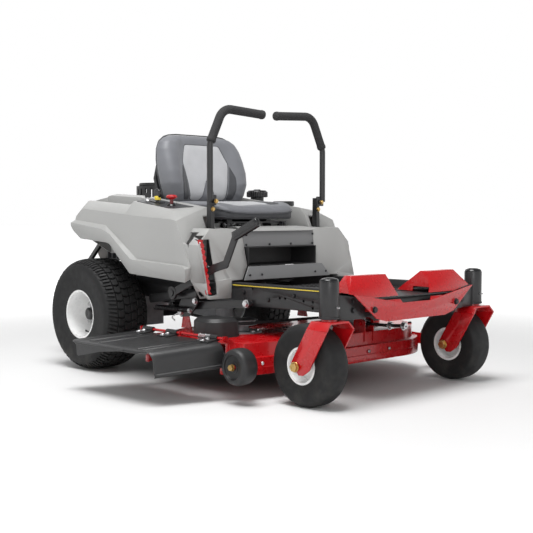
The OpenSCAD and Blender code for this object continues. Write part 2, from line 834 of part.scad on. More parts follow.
// Plan of the deck, drawn in by the given amount
module deck_plan(inset) {
    front = -1062 + inset;
    translate(spindle_left) circle(deck_r - inset);
    translate(spindle_right) circle(deck_r - inset);
    // The front corner on the discharge side is cut back for its roller
    polygon([[-545 + inset, -948 + inset], [-518 + inset, -948 + inset],
        [-518 + inset, -994 + inset], [-60, front], [spindle_left[0], front],
        [spindle_left[0], spindle_left[1] + 200], [-100, -480 - inset], [-300, -480 - inset],
        [-545 + inset, -480 - inset]]);
}

module deck_shell() piece(machine_red) {
    sheet = 3.5;
    shoulder = 26;
    bevel_z = deck_high - 48;
    difference() {
        union() {
            translate([0, 0, deck_low]) linear_extrude(26) deck_plan(0);
            translate([0, 0, deck_low]) linear_extrude(bevel_z - deck_low) deck_plan(sheet);
            translate([0, 0, bevel_z - eps]) linear_extrude(deck_high - bevel_z) deck_plan(shoulder);
            translate([0, 0, bevel_z - 4]) linear_extrude(4) deck_plan(sheet);
        }
        translate([0, 0, deck_low - 1]) linear_extrude(bevel_z - deck_low - sheet) deck_plan(2 * sheet);
        translate([0, 0, deck_low]) linear_extrude(deck_high - sheet - deck_low) deck_plan(shoulder + sheet);
        for (p = [spindle_right, spindle_left]) rod_z(deck_low, deck_high + 1, p[0], p[1], 60);
        box([-560, -900, deck_low - 1], [-480, -500, deck_high - sheet - 2]);
    }
}

module spindle_housings() piece([0.45, 0.45, 0.46]) for (p = [spindle_right, spindle_left]) {
    difference() {
        union() {
            rod_z(deck_high - 44, deck_high + 26, p[0], p[1], 34);
            rod_z(deck_high, deck_high + 6, p[0], p[1], 82);
        }
        rod_z(deck_high - 50, deck_high + 30, p[0], p[1], 12.5 + fit);
    }
}

module blade(p, turn) {
    tip = blade_len / 2;
    translate([p[0], p[1], 0]) {
        rotate([0, 0, turn]) {
            box([-tip, -29, deck_low + 12], [tip, 29, deck_low + 18]);
            for (s = [0, 180]) rotate([0, 0, s]) along_x(tip - 110, tip,
                [[18, deck_low + 18 - eps], [29, deck_low + 18 - eps], [34, deck_low + 36], [29, deck_low + 36]]);
        }
    }
    rod_z(deck_low + 6, deck_high + 48, p[0], p[1], 12.5);
    rod_z(deck_low + 6, deck_low + 18, p[0], p[1], 24);
    rod_z(deck_low + 18 - eps, deck_high - 46, p[0], p[1], 20);
    translate([p[0], p[1], 0]) pulley(deck_high + 30, 58, 18, 8);
}

module blade_right() piece([0.3, 0.3, 0.32]) blade(spindle_right, 70);
module blade_left() piece([0.3, 0.3, 0.32]) blade(spindle_left, 20);

module roller(p) {
    translate([p[0], p[1], roller_z]) rotate([0, 90, 0]) difference() {
        rotate_extrude() polygon([[8 + fit, -26], [44, -26], [44, -roller_w / 2], [50, -roller_w / 2],
            [roller_r, -roller_w / 4], [roller_r, roller_w / 4], [50, roller_w / 2], [44, roller_w / 2],
            [44, 26], [8 + fit, 26]]);
    }
}

module roller_right() piece(rubber_black) roller(roller_right);
module roller_left() piece(rubber_black) roller(roller_left);

// Everything bolted or welded on the deck: roller arms, lift hooks, front hanger, hinge rod
module deck_fittings() piece(machine_red) {
    axle_r = 8;
    rod_r = 5;
    plate_t = 5;
    top = deck_high + 2;
    // Right roller: a bolt in a plate welded on the deck's front wall
    rod_x(roller_right[0] - roller_w / 2 - 8, roller_right[0] + 60, roller_right[1], roller_z, axle_r);
    along_x(roller_right[0] + 45, roller_right[0] + 45 + plate_t, [[-1034, roller_z - 20],
        [-1034, roller_z + 20], [-985, deck_high - 60], [-985, roller_z - 30]]);
    // Left roller: a bolt in an arm off the rounded corner
    rod_x(roller_left[0] - 62, roller_tip_x, roller_left[1], roller_z, axle_r);
    along_x(roller_left[0] - 62, roller_left[0] - 62 + plate_t, [[-1018, roller_z - 20],
        [-1018, roller_z + 20], [-926, roller_z + 24], [-926, roller_z - 24]]);
    // Rear lift hooks, and the front hanger
    for (x = [-330, 330 - plate_t]) along_x(x, x + plate_t, [[-490, deck_high + eps],
        [-430, deck_high + eps], [-440, 246], [-456, 258], [-474, 246]]);
    for (x = [60, 110]) along_x(x, x + plate_t, [[-1040, 158], [-985, deck_high + eps],
        [-985, 236], [-1010, 250], [-1040, 236]]);
    rod_x(52, 123, -1016, 226, 8);
    // Hinge rod of the chute, held in three ears
    rod_y(-938, -462, chute_axis[0], chute_axis[1], rod_r);
    for (y = [-934, -702, -472]) along_y(y, y + plate_t, [[chute_axis[0] - 8, 206],
        [chute_axis[0] - 8, 222], [chute_axis[0] + 10, 222], [-505, top - 2 - eps], [-530, top - 2 - eps]]);
}

module belt_covers() piece([0.1, 0.1, 0.1]) both_sides() {
    cover = [[348, -800], [440, -800], [478, -765], [478, -680], [440, -640], [348, -640]];
    difference() {
        along_z(deck_high + gap, deck_high + 72, cover);
        along_z(deck_high, deck_high + 68, [[345, -796], [438, -796], [474, -763], [474, -682], [438, -644], [345, -644]]);
    }
}

module deck_belt() piece(rubber_black) {
    loose = 0.6;
    belt_loop([[spindle_right[0], spindle_right[1], 58 + loose], [spindle_left[0], spindle_left[1], 58 + loose],
        [crank[0], crank[1], 62 + loose]], deck_high + 34, deck_high + 44, 6);
}

// Moulded deflector: a flat roof with ribs, a front wall rolled down, a low outer wall
module discharge_chute() piece([0.08, 0.08, 0.08]) {
    t = 4;
    roof_z = 205;
    knuckle_r = 10;
    droop = 5;
    tip = chute_axis[0] + (chute_tip_x - chute_axis[0] + (roof_z - chute_axis[1]) * sin(droop)) / cos(droop);
    roof = [[-562, -930], [-780, -852], [tip, -800], [tip, -420], [tip + 15, -372], [-562, -452]];
    wall_in = [-560, -937];
    wall_out = [-802, -852];
    wall_low = 120;
    roll = 34;
    translate([chute_axis[0], 0, chute_axis[1]]) rotate([0, -droop, 0])
        translate([-chute_axis[0], 0, -chute_axis[1]]) difference() {
        union() {
            along_z(roof_z - t, roof_z, roof);
            // Front wall, with a rolled shoulder above it
            block([for (p = [wall_in, wall_out], e = [[0, wall_low], [1, wall_low], [3, roof_z - roll], [5, roof_z - roll]])
                [p[0], p[1] + e[0] * t, e[1]]]);
            block([for (p = [wall_in, wall_out], e = [[3 * t, roof_z - roll - 2], [5 * t, roof_z - roll - 2],
                [9 * t, roof_z - 0.2], [11 * t, roof_z - 0.4], [9 * t, roof_z - t]])
                [p[0], p[1] + e[0], e[1]]]);
            // Outer wall, tallest at the back
            along_x(tip, tip + t, [[-700, roof_z - eps], [-700, roof_z - 6], [-560, roof_z - 24],
                [-420, 152], [-420, roof_z - eps]]);
            // Ribs along the roof
            for (x = [-760, -700, -640]) box([x, -840, roof_z - eps], [x + 14, -440, roof_z + 3]);
            for (y = [-900, -680, -540]) {
                rod_y(y, y + 60, chute_axis[0], chute_axis[1], knuckle_r);
                box([-600, y, roof_z - eps], [chute_axis[0], y + 60, roof_z + 6]);
            }
        }
        rod_y(-1000, -400, chute_axis[0], chute_axis[1], 5 + fit);
    }
}

// ---------------------------------------------------------------- wheels

function rounded_tyre(r, w, bead, n = 14) = [
    for (i = [0 : n]) let (a = 180 * i / n)
        [bead + (r - bead) * pow(sin(a), 0.55),
         (w / 2) * (0.9 + 0.14 * min(1, 2 * sin(a))) * sign(cos(a)) * pow(abs(cos(a)), 0.45)]
];

module tyre(r, w, bead, skin_t) {
    rotate([0, 90, 0]) rotate_extrude() difference() {
        polygon(rounded_tyre(r, w, bead));
        polygon(rounded_tyre(r - skin_t, w - 2 * skin_t, bead - 4));
    }
}

// Rim turned round X: two flanged drop halves, a dished disc and a hub
module rim(seat_r, flange_r, half_w, disc_x, bore_r, hub_r, hub_x) {
    t = 3;
    lip = 5;
    rotate([0, 90, 0]) rotate_extrude() difference() {
        union() {
            polygon([
                [seat_r - t, -half_w + t], [flange_r, -half_w + lip], [flange_r, -half_w],
                [seat_r - 2 * t, -half_w], [seat_r - 3 * t, -half_w + 22], [seat_r - 3 * t, half_w - 22],
                [seat_r - 2 * t, half_w], [flange_r, half_w], [flange_r, half_w - lip],
                [seat_r - t, half_w - t], [seat_r - 2 * t, half_w - 22], [seat_r - 2 * t, -half_w + 22]
            ]);
            polygon([
                [bore_r, disc_x], [hub_r + 12, disc_x], [seat_r - 2.5 * t, disc_x - 14],
                [seat_r - 2.5 * t, disc_x - 14 - t], [hub_r + 12, disc_x - 2 * t], [bore_r, disc_x - 2 * t]
            ]);
            polygon([[bore_r, hub_x[0]], [hub_r, hub_x[0]], [hub_r, hub_x[1]], [bore_r, hub_x[1]]]);
        }
        square(2 * bore_r, center = true);
    }
}

module drive_place(side) on_side(side) translate([drive_x, 0, drive_r]) children();
module caster_place(side) on_side(side) translate([caster_x, -wheelbase, caster_r]) children();

module tyre_rear_right() piece(rubber_black) drive_place("right") tyre(drive_r, drive_w, 101, 9);
module tyre_rear_left() piece(rubber_black) drive_place("left") tyre(drive_r, drive_w, 101, 9);
module tyre_front_right() piece(rubber_black) caster_place("right") tyre(caster_r, caster_w, 64, 8);
module tyre_front_left() piece(rubber_black) caster_place("left") tyre(caster_r, caster_w, 64, 8);
drive_bore = 19 + fit;
axle_bore = 9.5 + fit;

module drive_rim(side) drive_place(side) rim(99, 112, 94, 8, drive_bore, 36, [-14, 14]);
module caster_rim(side) caster_place(side) rim(62, 77, 45, 12, axle_bore, 20, [-60, 60]);

module wheel_rear_right() piece("white") drive_rim("right");
module wheel_rear_left() piece("white") drive_rim("left");
module wheel_front_right() piece("white") caster_rim("right");
module wheel_front_left() piece("white") caster_rim("left");

// A bent plate over the wheel, a spindle up into the frame and the axle bolt
module caster_fork(side) on_side(side) {
    leg_in = caster_w / 2 + 12;
    leg_t = 6;
    top_z = 292;
    spindle_r = 16;
    axle_r = 9.5;
    leg = [[pivot_y + 36, top_z - 24], [pivot_y - 50, top_z - 28], [-wheelbase - 58, caster_r - 8],
           [-wheelbase - 30, caster_r - 27], [-wheelbase - 12, caster_r - 27],
           [-wheelbase + 22, caster_r + 12]];
    both_legs = [caster_x - leg_in - leg_t, caster_x + leg_in];
    for (x = both_legs) along_x(x, x + leg_t, leg);
    // Top plate with a chamfered shoulder on each side
    roof_out = [[-leg_in - leg_t, top_z - 26], [-leg_in + 18, top_z], [leg_in - 18, top_z],
                [leg_in + leg_t, top_z - 26], [leg_in, top_z - 28.5], [leg_in - 20, top_z - leg_t],
                [-leg_in + 20, top_z - leg_t], [-leg_in, top_z - 28.5]];
    translate([caster_x, 0, 0]) difference() {
        along_y(pivot_y - 52, pivot_y + 38, roof_out);
        along_x(-90, 90, [[pivot_y - 60, top_z + 1], [pivot_y - 46, top_z + 1],
            [pivot_y - 53, top_z - 40], [pivot_y - 60, top_z - 40]]);
    }
    rod_z(top_z - eps, 412, caster_x, pivot_y, spindle_r);
    rod_z(top_z - eps, 298, caster_x, pivot_y, 26);
    rod_x(both_legs[0] - 9, both_legs[1] + leg_t + 9, -wheelbase, caster_r, axle_r);
}

module caster_fork_right() piece(machine_red) caster_fork("right");
module caster_fork_left() piece(machine_red) caster_fork("left");

main_frame();
front_beam();
rear_frame();
foot_platform();
footrest();
fender_right();
fender_left();
pod_right();
pod_left();
dash_panel();
storage_bin();
lower_panel();
height_gate();
console_panel();
engine_block();
engine_shroud();
muffler();
fuel_tank();
battery();
transaxles();
chassis_bolts();
drive_belt();
control_post_right();
control_post_left();
lever_tube_right();
lever_tube_left();
lever_grip_right();
lever_grip_left();
seat_plate();
seat_shell();
seat_cushion();
seat_back();
height_lever();
lift_shaft();
lift_arms();
deck_shell();
deck_fittings();
spindle_housings();
belt_covers();
deck_belt();
discharge_chute();
roller_right();
roller_left();
blade_right();
blade_left();
tyre_rear_right();
tyre_rear_left();
wheel_rear_right();
wheel_rear_left();
caster_fork_right();
caster_fork_left();
tyre_front_right();
tyre_front_left();
wheel_front_right();
wheel_front_left();
blade_clutch_knob();
throttle_lever();
ignition_key();
fuel_cap();
crank_pulley();
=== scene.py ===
"""The looks of a zero-turn mower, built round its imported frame.

Metres, +Z up. The machine faces -Y and its discharge side is -X. Sizes that belong to the machine's
own pieces are written in millimetres and go through at() or MM.
"""
import json
import math

import bmesh
import bpy
from mathutils import Matrix, Vector
from mathutils.bvhtree import BVHTree

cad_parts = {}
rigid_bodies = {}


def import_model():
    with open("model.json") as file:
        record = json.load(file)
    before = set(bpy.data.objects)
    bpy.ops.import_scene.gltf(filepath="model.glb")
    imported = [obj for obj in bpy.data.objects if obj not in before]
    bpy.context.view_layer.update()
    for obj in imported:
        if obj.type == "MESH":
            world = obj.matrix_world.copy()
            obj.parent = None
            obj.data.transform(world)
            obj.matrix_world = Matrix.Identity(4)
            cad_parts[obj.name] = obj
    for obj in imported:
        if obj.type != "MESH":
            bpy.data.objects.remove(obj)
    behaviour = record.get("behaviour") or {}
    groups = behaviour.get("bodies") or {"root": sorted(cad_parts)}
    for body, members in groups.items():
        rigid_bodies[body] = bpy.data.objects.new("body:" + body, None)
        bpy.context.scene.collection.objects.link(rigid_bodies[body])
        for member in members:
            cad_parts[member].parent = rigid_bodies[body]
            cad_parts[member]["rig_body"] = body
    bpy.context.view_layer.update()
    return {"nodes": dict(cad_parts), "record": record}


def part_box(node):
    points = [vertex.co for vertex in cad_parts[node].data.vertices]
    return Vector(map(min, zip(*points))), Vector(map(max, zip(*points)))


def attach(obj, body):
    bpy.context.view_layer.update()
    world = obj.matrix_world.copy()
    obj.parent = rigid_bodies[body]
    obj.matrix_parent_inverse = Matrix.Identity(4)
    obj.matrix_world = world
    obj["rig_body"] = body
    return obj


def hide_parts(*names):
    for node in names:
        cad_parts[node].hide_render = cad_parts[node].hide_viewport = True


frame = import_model()
MM = 0.001
X, Y, Z = Vector((1, 0, 0)), Vector((0, 1, 0)), Vector((0, 0, 1))
SIDES = {"right": -1, "left": 1}
DRIVE_TYRE_WIDTH = 214
CHUTE_HINGE = (-552, 0, 214)
CHUTE_DROOP = math.radians(5)


def middle(node):
    """The centre of a CAD node's box."""
    low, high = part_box(node)
    return (low + high) / 2


# The machine's own origin: on the ground under the middle of the rear axle
AXLE = (middle("wheel_rear_right") + middle("wheel_rear_left")) / 2
ORIGIN = Vector((AXLE.x, AXLE.y, 0))


def at(x, y, z):
    """A point given in millimetres from the machine's origin, in the row frame."""
    return ORIGIN + Vector((x, y, z)) * MM


# ------------------------------------------------------------------ camera, light and floor


def aim_camera():
    """Low, in front and on the discharge side, looking back along the machine."""
    yaw, pitch = math.radians(44.2), math.radians(3.06)
    data = bpy.data.cameras.new("camera")
    data.lens, data.sensor_width = 67.68, 36
    data.clip_start, data.clip_end = 0.1, 100
    camera = bpy.data.objects.new("camera", data)
    ahead = Vector((math.sin(yaw) * math.cos(pitch), math.cos(yaw) * math.cos(pitch), -math.sin(pitch)))
    camera.location = at(-2826.9, -3478.4, 644.9)
    camera.rotation_mode = "QUATERNION"
    camera.rotation_quaternion = ahead.to_track_quat("-Z", "Y")
    bpy.context.scene.collection.objects.link(camera)
    bpy.context.scene.camera = camera


def area_light(name, place, target, size, power):
    data = bpy.data.lights.new(name, "AREA")
    data.shape, data.size, data.energy = "SQUARE", size, power
    light = bpy.data.objects.new(name, data)
    light.location = place
    light.rotation_euler = (target - place).to_track_quat("-Z", "Y").to_euler()
    bpy.context.scene.collection.objects.link(light)


SKY_TOP = 0.22


def light_studio():
    """A big soft light over the machine, with a little from the front and the back."""
    target = at(0, -400, 400)
    area_light("key", target + Vector((-1.2, -0.6, 3.8)), target, 2.4, 190)
    area_light("fill", target + Vector((-3.2, -4.0, 1.8)), target, 1.8, 30)
    area_light("back", target + Vector((1.5, 3.6, 3.0)), target, 3.0, 30)
    world = bpy.data.worlds.new("studio")
    world.use_nodes = True
    tree = world.node_tree
    direction = wire(tree, "TexCoord").outputs["Generated"]
    rise = wire(tree, "SeparateXYZ", {0: direction}).outputs["Z"]
    glow = wire(tree, "MapRange", {0: rise, 1: 0.22, 2: 0.5, 3: 1.0, 4: SKY_TOP}).outputs[0]
    tree.links.new(glow, tree.nodes["Background"].inputs["Strength"])
    tree.nodes["Background"].inputs["Color"].default_value = (1, 1, 1, 1)
    bpy.context.scene.world = world
    view = bpy.context.scene.view_settings
    view.view_transform, view.look = "Standard", "None"


def lay_floor():
    mesh = bpy.data.meshes.new("floor")
    half, low = 40, -0.0005
    corners = [(-half, -half, low), (half, -half, low), (half, half, low), (-half, half, low)]
    mesh.from_pydata(corners, [], [(0, 1, 2, 3)])
    mesh.materials.append(FLOOR)
    floor = bpy.data.objects.new("floor", mesh)
    bpy.context.scene.collection.objects.link(floor)


# ------------------------------------------------------------------ materials


def wire(tree, kind, inputs=None, **settings):
    """Adds a shader node. An input's value is a number, a colour or another node's output."""
    node = tree.nodes.new("ShaderNode" + kind)
    for key, value in settings.items():
        setattr(node, key, value)
    for key, value in (inputs or {}).items():
        if isinstance(value, bpy.types.NodeSocket):
            tree.links.new(value, node.inputs[key])
        else:
            node.inputs[key].default_value = value
    return node


def rgba(colour):
    return (*colour, 1)


class Finish:
    """A Principled material on Object coordinates, written one layer at a time."""

    def __init__(self, name, colour, rough, **constants):
        self.material = bpy.data.materials.new(name)
        self.material.use_nodes = True
        self.tree = self.material.node_tree
        self.shader = self.tree.nodes["Principled BSDF"]
        self.coords = wire(self.tree, "TexCoord").outputs["Object"]
        self.colour = wire(self.tree, "RGB").outputs[0]
        self.colour.default_value = rgba(colour)
        self.rough = None
        self.height = None
        self.base_rough = rough
        self.shader.inputs["Roughness"].default_value = rough
        for key, value in constants.items():
            self.shader.inputs[key.replace("_", " ")].default_value = value

    def noise(self, scale, detail=2.0, stretch=None):
        place = self.coords
        if stretch:
            place = wire(self.tree, "Mapping", {"Vector": place, "Scale": stretch}).outputs[0]
        return wire(self.tree, "TexNoise", {"Vector": place, "Scale": scale, "Detail": detail}).outputs["Fac"]

    def cells(self, scale, feature="F1"):
        inputs = {"Vector": self.coords, "Scale": scale}
        return wire(self.tree, "TexVoronoi", inputs, feature=feature).outputs["Distance"]

    def spread(self, value, low, high, to_low=0.0, to_high=1.0):
        """Maps a stretch of a value to another stretch, clamped."""
        return wire(self.tree, "MapRange", {0: value, 1: low, 2: high, 3: to_low, 4: to_high}).outputs[0]

    def tint(self, amount, colour):
        """Mixes a colour in by an amount from 0 to 1."""
        mix = wire(self.tree, "Mix", {0: amount, 6: self.colour, 7: rgba(colour)}, data_type="RGBA")
        self.colour = mix.outputs[2]
        return self

    def mottle(self, scale, colour, most=0.5):
        return self.tint(self.spread(self.noise(scale, 4), 0.35, 0.75, 0, most), colour)

    def uneven(self, scale, change):
        """Roughness that wanders about its middle value."""
        low, high = self.base_rough - change, self.base_rough + change
        self.rough = self.spread(self.noise(scale, 3), 0.3, 0.7, low, high)
        return self

    def relief(self, value, height, strength=1.0):
        """Adds a bump whose full height is given in metres."""
        inputs = {"Height": value, "Distance": height, "Strength": strength}
        if self.height:
            inputs["Normal"] = self.height
        self.height = wire(self.tree, "Bump", inputs).outputs[0]
        return self

    def dust(self, top, colour, most=0.35):
        """Dirt that thins out from the ground up to a height in metres."""
        height = wire(self.tree, "SeparateXYZ", {0: self.coords}).outputs["Z"]
        low = self.spread(height, 0.0, top, 1, 0)
        patch = self.spread(self.noise(22, 5), 0.42, 0.7)
        amount = wire(self.tree, "Math", {0: low, 1: patch}, operation="MULTIPLY").outputs[0]
        amount = wire(self.tree, "Math", {0: amount, 1: most}, operation="MULTIPLY").outputs[0]
        return self.tint(amount, colour)

    def done(self):
        self.tree.links.new(self.colour, self.shader.inputs["Base Color"])
        if self.rough:
            self.tree.links.new(self.rough, self.shader.inputs["Roughness"])
        if self.height:
            self.tree.links.new(self.height, self.shader.inputs["Normal"])
        return self.material


def moulded(name, colour, rough, grain=1400, height=0.00012, mottle=None):
    """Injection-moulded plastic with a spark-eroded grain."""
    finish = Finish(name, colour, rough)
    finish.mottle(5, mottle or [c * 0.93 for c in colour], 0.6).uneven(60, 0.04)
    return finish.relief(finish.noise(grain, 2), height, 0.35).done()


def painted(name, colour, rough, coat=0.0, peel=0.00004, shade=None):
    """Powder coat: a faint orange peel, slightly uneven in gloss."""
    finish = Finish(name, colour, rough, Coat_Weight=coat, Coat_Roughness=0.08)
    finish.mottle(7, shade or [c * 0.85 for c in colour], 0.5).uneven(35, 0.035)
    return finish.relief(finish.noise(420, 1), peel, 0.5).done()


def metal(name, colour, rough, grain=(1, 1, 1), streak=900):
    """Bare or plated metal with fine machining streaks."""
    finish = Finish(name, colour, rough, Metallic=1.0)
    finish.mottle(40, [c * 0.7 for c in colour], 0.6).uneven(120, 0.06)
    return finish.relief(finish.noise(streak, 2, grain), 0.00002, 0.4).done()


def rubber(name, colour, rough, dust=(0.09, 0.085, 0.075)):
    finish = Finish(name, colour, rough, Specular_IOR_Level=0.35)
    finish.mottle(9, [c * 1.5 for c in colour], 0.5).uneven(45, 0.06).dust(0.25, dust, 0.3)
    return finish.relief(finish.noise(900, 3), 0.00008, 0.4).done()


def foam(name):
    """Closed-cell foam with a skin of small pits."""
    finish = Finish(name, (0.032, 0.032, 0.033), 0.84, Specular_IOR_Level=0.3)
    finish.mottle(60, (0.04, 0.04, 0.042), 0.6)
    finish.relief(finish.cells(650), 0.00035, 0.5)
    return finish.relief(finish.noise(90, 3), 0.0005, 0.3).done()


def vinyl(name, colour, rough=0.46, grain=520, weave=False):
    """Coated seat fabric with a leather grain, or with a fine basket weave pressed in it."""
    finish = Finish(name, colour, rough, Specular_IOR_Level=0.4, Sheen_Weight=0.08)
    finish.mottle(14, [c * 0.82 for c in colour], 0.6).uneven(50, 0.05)
    if weave:
        checks = wire(finish.tree, "TexChecker", {"Vector": finish.coords, "Scale": 420.0}).outputs["Fac"]
        finish.tint(finish.spread(checks, 0, 1, 0, 0.18), [c * 0.55 for c in colour])
        finish.relief(checks, 0.0003, 0.3)
    finish.relief(finish.cells(grain, "DISTANCE_TO_EDGE"), 0.0004, 0.4)
    return finish.relief(finish.noise(35, 4), 0.0012, 0.25).done()


def floor_finish():
    """Matt white paper that glows, more with distance, so it runs into the background without a line, with a
    painted shadow darkened into it under the machine.
    """
    finish = Finish("studio_floor", (0.8, 0.8, 0.8), 0.7, Specular_IOR_Level=0.1)
    away = wire(finish.tree, "VectorMath", {0: finish.coords}, operation="LENGTH").outputs["Value"]
    # The floor glows by emission, rising from nothing 1.3 m from its middle to full strength at 4.5 m.
    glow = wire(finish.tree, "MapRange", {0: away, 1: 1.3, 2: 4.5, 3: 0.0, 4: 1.0},
                interpolation_type="SMOOTHSTEP").outputs[0]
    finish.tree.links.new(glow, finish.shader.inputs["Emission Strength"])
    finish.shader.inputs["Emission Color"].default_value = (0.8, 0.8, 0.8, 1)
    # Painted shadow: the floor's colour is darkened to near black in a soft oval under the machine, standing
    # in for its shade.
    under = wire(finish.tree, "Mapping", {"Vector": finish.coords, "Location": (-0.12, 0.0, 0.0),
                                          "Scale": (1.75, 1.3, 0.0)}).outputs[0]
    out = wire(finish.tree, "VectorMath", {0: under}, operation="LENGTH").outputs["Value"]
    painted_shadow = wire(finish.tree, "MapRange", {0: out, 1: 0.45, 2: 1.12, 3: 1.0, 4: 0.0},
                  interpolation_type="SMOOTHSTEP").outputs[0]
    return finish.mottle(1.5, (0.79, 0.79, 0.79), 0.3).tint(painted_shadow, (0.07, 0.07, 0.07)).done()


FLOOR = floor_finish()
COVER_GREY = moulded("cover_grey_plastic", (0.34, 0.34, 0.333), 0.42)
PANEL_GREY = painted("panel_grey_paint", (0.165, 0.167, 0.17), 0.4)
RED = painted("red_powder_coat", (0.47, 0.004, 0.007), 0.28, 0.35, shade=(0.40, 0.003, 0.005))
BLACK = painted("black_powder_coat", (0.012, 0.012, 0.013), 0.36, 0.1, shade=(0.02, 0.02, 0.021))
ENGINE_BLACK = painted("engine_paint", (0.03, 0.03, 0.032), 0.5)
MUFFLER_DARK = painted("heat_paint", (0.075, 0.07, 0.066), 0.65, shade=(0.12, 0.09, 0.07))
WHITE = painted("white_rim_paint", (0.88, 0.88, 0.875), 0.28, 0.4, shade=(0.82, 0.82, 0.815))
BLACK_PLASTIC = moulded("black_plastic", (0.014, 0.014, 0.015), 0.48, mottle=(0.022, 0.022, 0.023))
CHUTE_PLASTIC = moulded("chute_plastic", (0.02, 0.02, 0.021), 0.42, 700, 0.0001, (0.028, 0.028, 0.03))
CONSOLE_PLASTIC = moulded("console_plastic", (0.022, 0.023, 0.026), 0.4, 2000, mottle=(0.03, 0.031, 0.034))
GLOSS_BLACK = moulded("gloss_black_plastic", (0.012, 0.012, 0.013), 0.2, 200, 0.00004)
RED_PLASTIC = moulded("red_knob_plastic", (0.42, 0.012, 0.014), 0.24, 200, 0.00004)
DARK_RED = painted("dark_red_stem", (0.16, 0.01, 0.012), 0.35)
YELLOW = moulded("yellow_collar", (0.78, 0.60, 0.05), 0.35, 600, 0.00004)
YELLOW_ZINC = metal("yellow_zinc", (0.62, 0.42, 0.16), 0.32)
ZINC = metal("clear_zinc", (0.62, 0.62, 0.63), 0.3)
BLACK_OXIDE = metal("black_oxide", (0.06, 0.06, 0.062), 0.45)
ALLOY = metal("cast_alloy", (0.30, 0.30, 0.31), 0.55, streak=260)
STEEL = metal("bare_steel", (0.42, 0.42, 0.43), 0.34, (1, 8, 8))
RUBBER = rubber("tyre_rubber", (0.011, 0.011, 0.0115), 0.66)
BELT = rubber("belt_rubber", (0.02, 0.02, 0.021), 0.8)
FOAM = foam("grip_foam")
VINYL_GREY = vinyl("vinyl_grey", (0.165, 0.17, 0.185))
VINYL_LIGHT = vinyl("vinyl_light_weave", (0.46, 0.465, 0.48), weave=True)
VINYL_DARK = vinyl("vinyl_charcoal", (0.052, 0.054, 0.06))

# ------------------------------------------------------------------ making and finishing pieces


def link(name, mesh, *finishes):
    piece = bpy.data.objects.new(name, mesh)
    for finish in finishes:
        mesh.materials.append(finish)
    bpy.context.scene.collection.objects.link(piece)
    return piece


def shade(mesh, angle=35):
    """Smooth faces, with edges sharper than the angle kept crisp."""
    mesh.polygons.foreach_set("use_smooth", [True] * len(mesh.polygons))
    mesh.set_sharp_from_angle(angle=math.radians(angle))


def settle(piece):
    """Turns what the modifiers make into the piece's own mesh."""
    graph = bpy.context.evaluated_depsgraph_get()
    made = bpy.data.meshes.new_from_object(piece.evaluated_get(graph), depsgraph=graph)
    piece.modifiers.clear()
    piece.data = made
    return piece


def from_bmesh(name, shape, finish, angle=35):
    bmesh.ops.recalc_face_normals(shape, faces=shape.faces)
    mesh = bpy.data.meshes.new(name)
    shape.to_mesh(mesh)
    shape.free()
    piece = link(name, mesh, *([finish] if not isinstance(finish, (list, tuple)) else finish))
    shade(mesh, angle)
    return piece


def skin(shape, loops, ends=True):
    """Faces between loops of points of the same length, and one over each end."""
    for a, b in zip(loops, loops[1:]):
        for k in range(len(a)):
            n = (k + 1) % len(a)
            shape.faces.new((a[k], a[n], b[n], b[k]))
    if ends:
        shape.faces.new(loops[0][::-1])
        shape.faces.new(loops[-1])


def loft(name, rings, finish, angle=60):
    """A closed solid through rings of points of the same length."""
    shape = bmesh.new()
    skin(shape, [[shape.verts.new(p) for p in ring] for ring in rings])
    return from_bmesh(name, shape, finish, angle)


def mount(piece, body, slot, *replaced):
    """Says which body the piece moves with and which CAD nodes it stands for. The slot argument is not used.
    """
    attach(piece, body)
    if replaced:
        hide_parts(*replaced)
    return piece


def fit(name, parts, body, slot, *replaced):
    """Joins the parts to one piece and mounts it."""
    return mount(joined(name, parts), body, slot, *replaced)


def body_of_node(node):
    return frame["nodes"][node]["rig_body"]


def slot_of_node(node):
    rows = frame["record"]["subparts"]
    return next(row["material_slot"] for row in rows if row["node"] == node)


def rounded_copy(node, finish, width, segments=2, angle=24, name=None):
    """The CAD node with its corners rounded, as folded sheet, castings and mouldings have them."""
    shape = bmesh.new()
    shape.from_mesh(frame["nodes"][node].data)
    bmesh.ops.remove_doubles(shape, verts=shape.verts, dist=0.02 * MM)
    bmesh.ops.dissolve_limit(
        shape, angle_limit=math.radians(0.6), verts=shape.verts, edges=shape.edges, delimit={"NORMAL"})
    mesh = bpy.data.meshes.new(name or node + "_finished")
    shape.to_mesh(mesh)
    shape.free()
    piece = link(mesh.name, mesh, finish)
    bevel = piece.modifiers.new("corners", "BEVEL")
    bevel.width, bevel.segments = width * MM, segments
    bevel.limit_method, bevel.angle_limit = "ANGLE", math.radians(angle)
    bevel.use_clamp_overlap, bevel.harden_normals = True, False
    settle(piece)
    shade(piece.data, 40)
    return mount(piece, body_of_node(node), slot_of_node(node), node)


def paint_node(node, finish):
    """Gives a CAD node that is shown as it is its finish."""
    data = frame["nodes"][node].data
    data.materials.clear()
    data.materials.append(finish)
    shade(data, 35)


LOOKS = {
    "machine_red": RED, "frame_black": BLACK, "cover_grey": COVER_GREY, "panel_grey": PANEL_GREY,
    "bin_black": BLACK_PLASTIC, "console_black": CONSOLE_PLASTIC, "engine_black": ENGINE_BLACK,
    "shroud_black": BLACK_PLASTIC, "muffler_steel": MUFFLER_DARK, "tank_black": BLACK_PLASTIC,
    "battery_black": BLACK_PLASTIC, "drive_alloy": ALLOY, "belt_rubber": BELT, "bolt_black": BLACK_OXIDE,
    "grip_foam": FOAM, "seat_vinyl": VINYL_GREY, "seat_black": BLACK_PLASTIC, "blade_steel": STEEL,
    "chute_black": CHUTE_PLASTIC, "tyre": RUBBER, "rim_white": WHITE, "knob_red": RED_PLASTIC,
    "knob_black": GLOSS_BLACK,
}
for each in sorted(frame["nodes"]):
    paint_node(each, LOOKS[slot_of_node(each)])

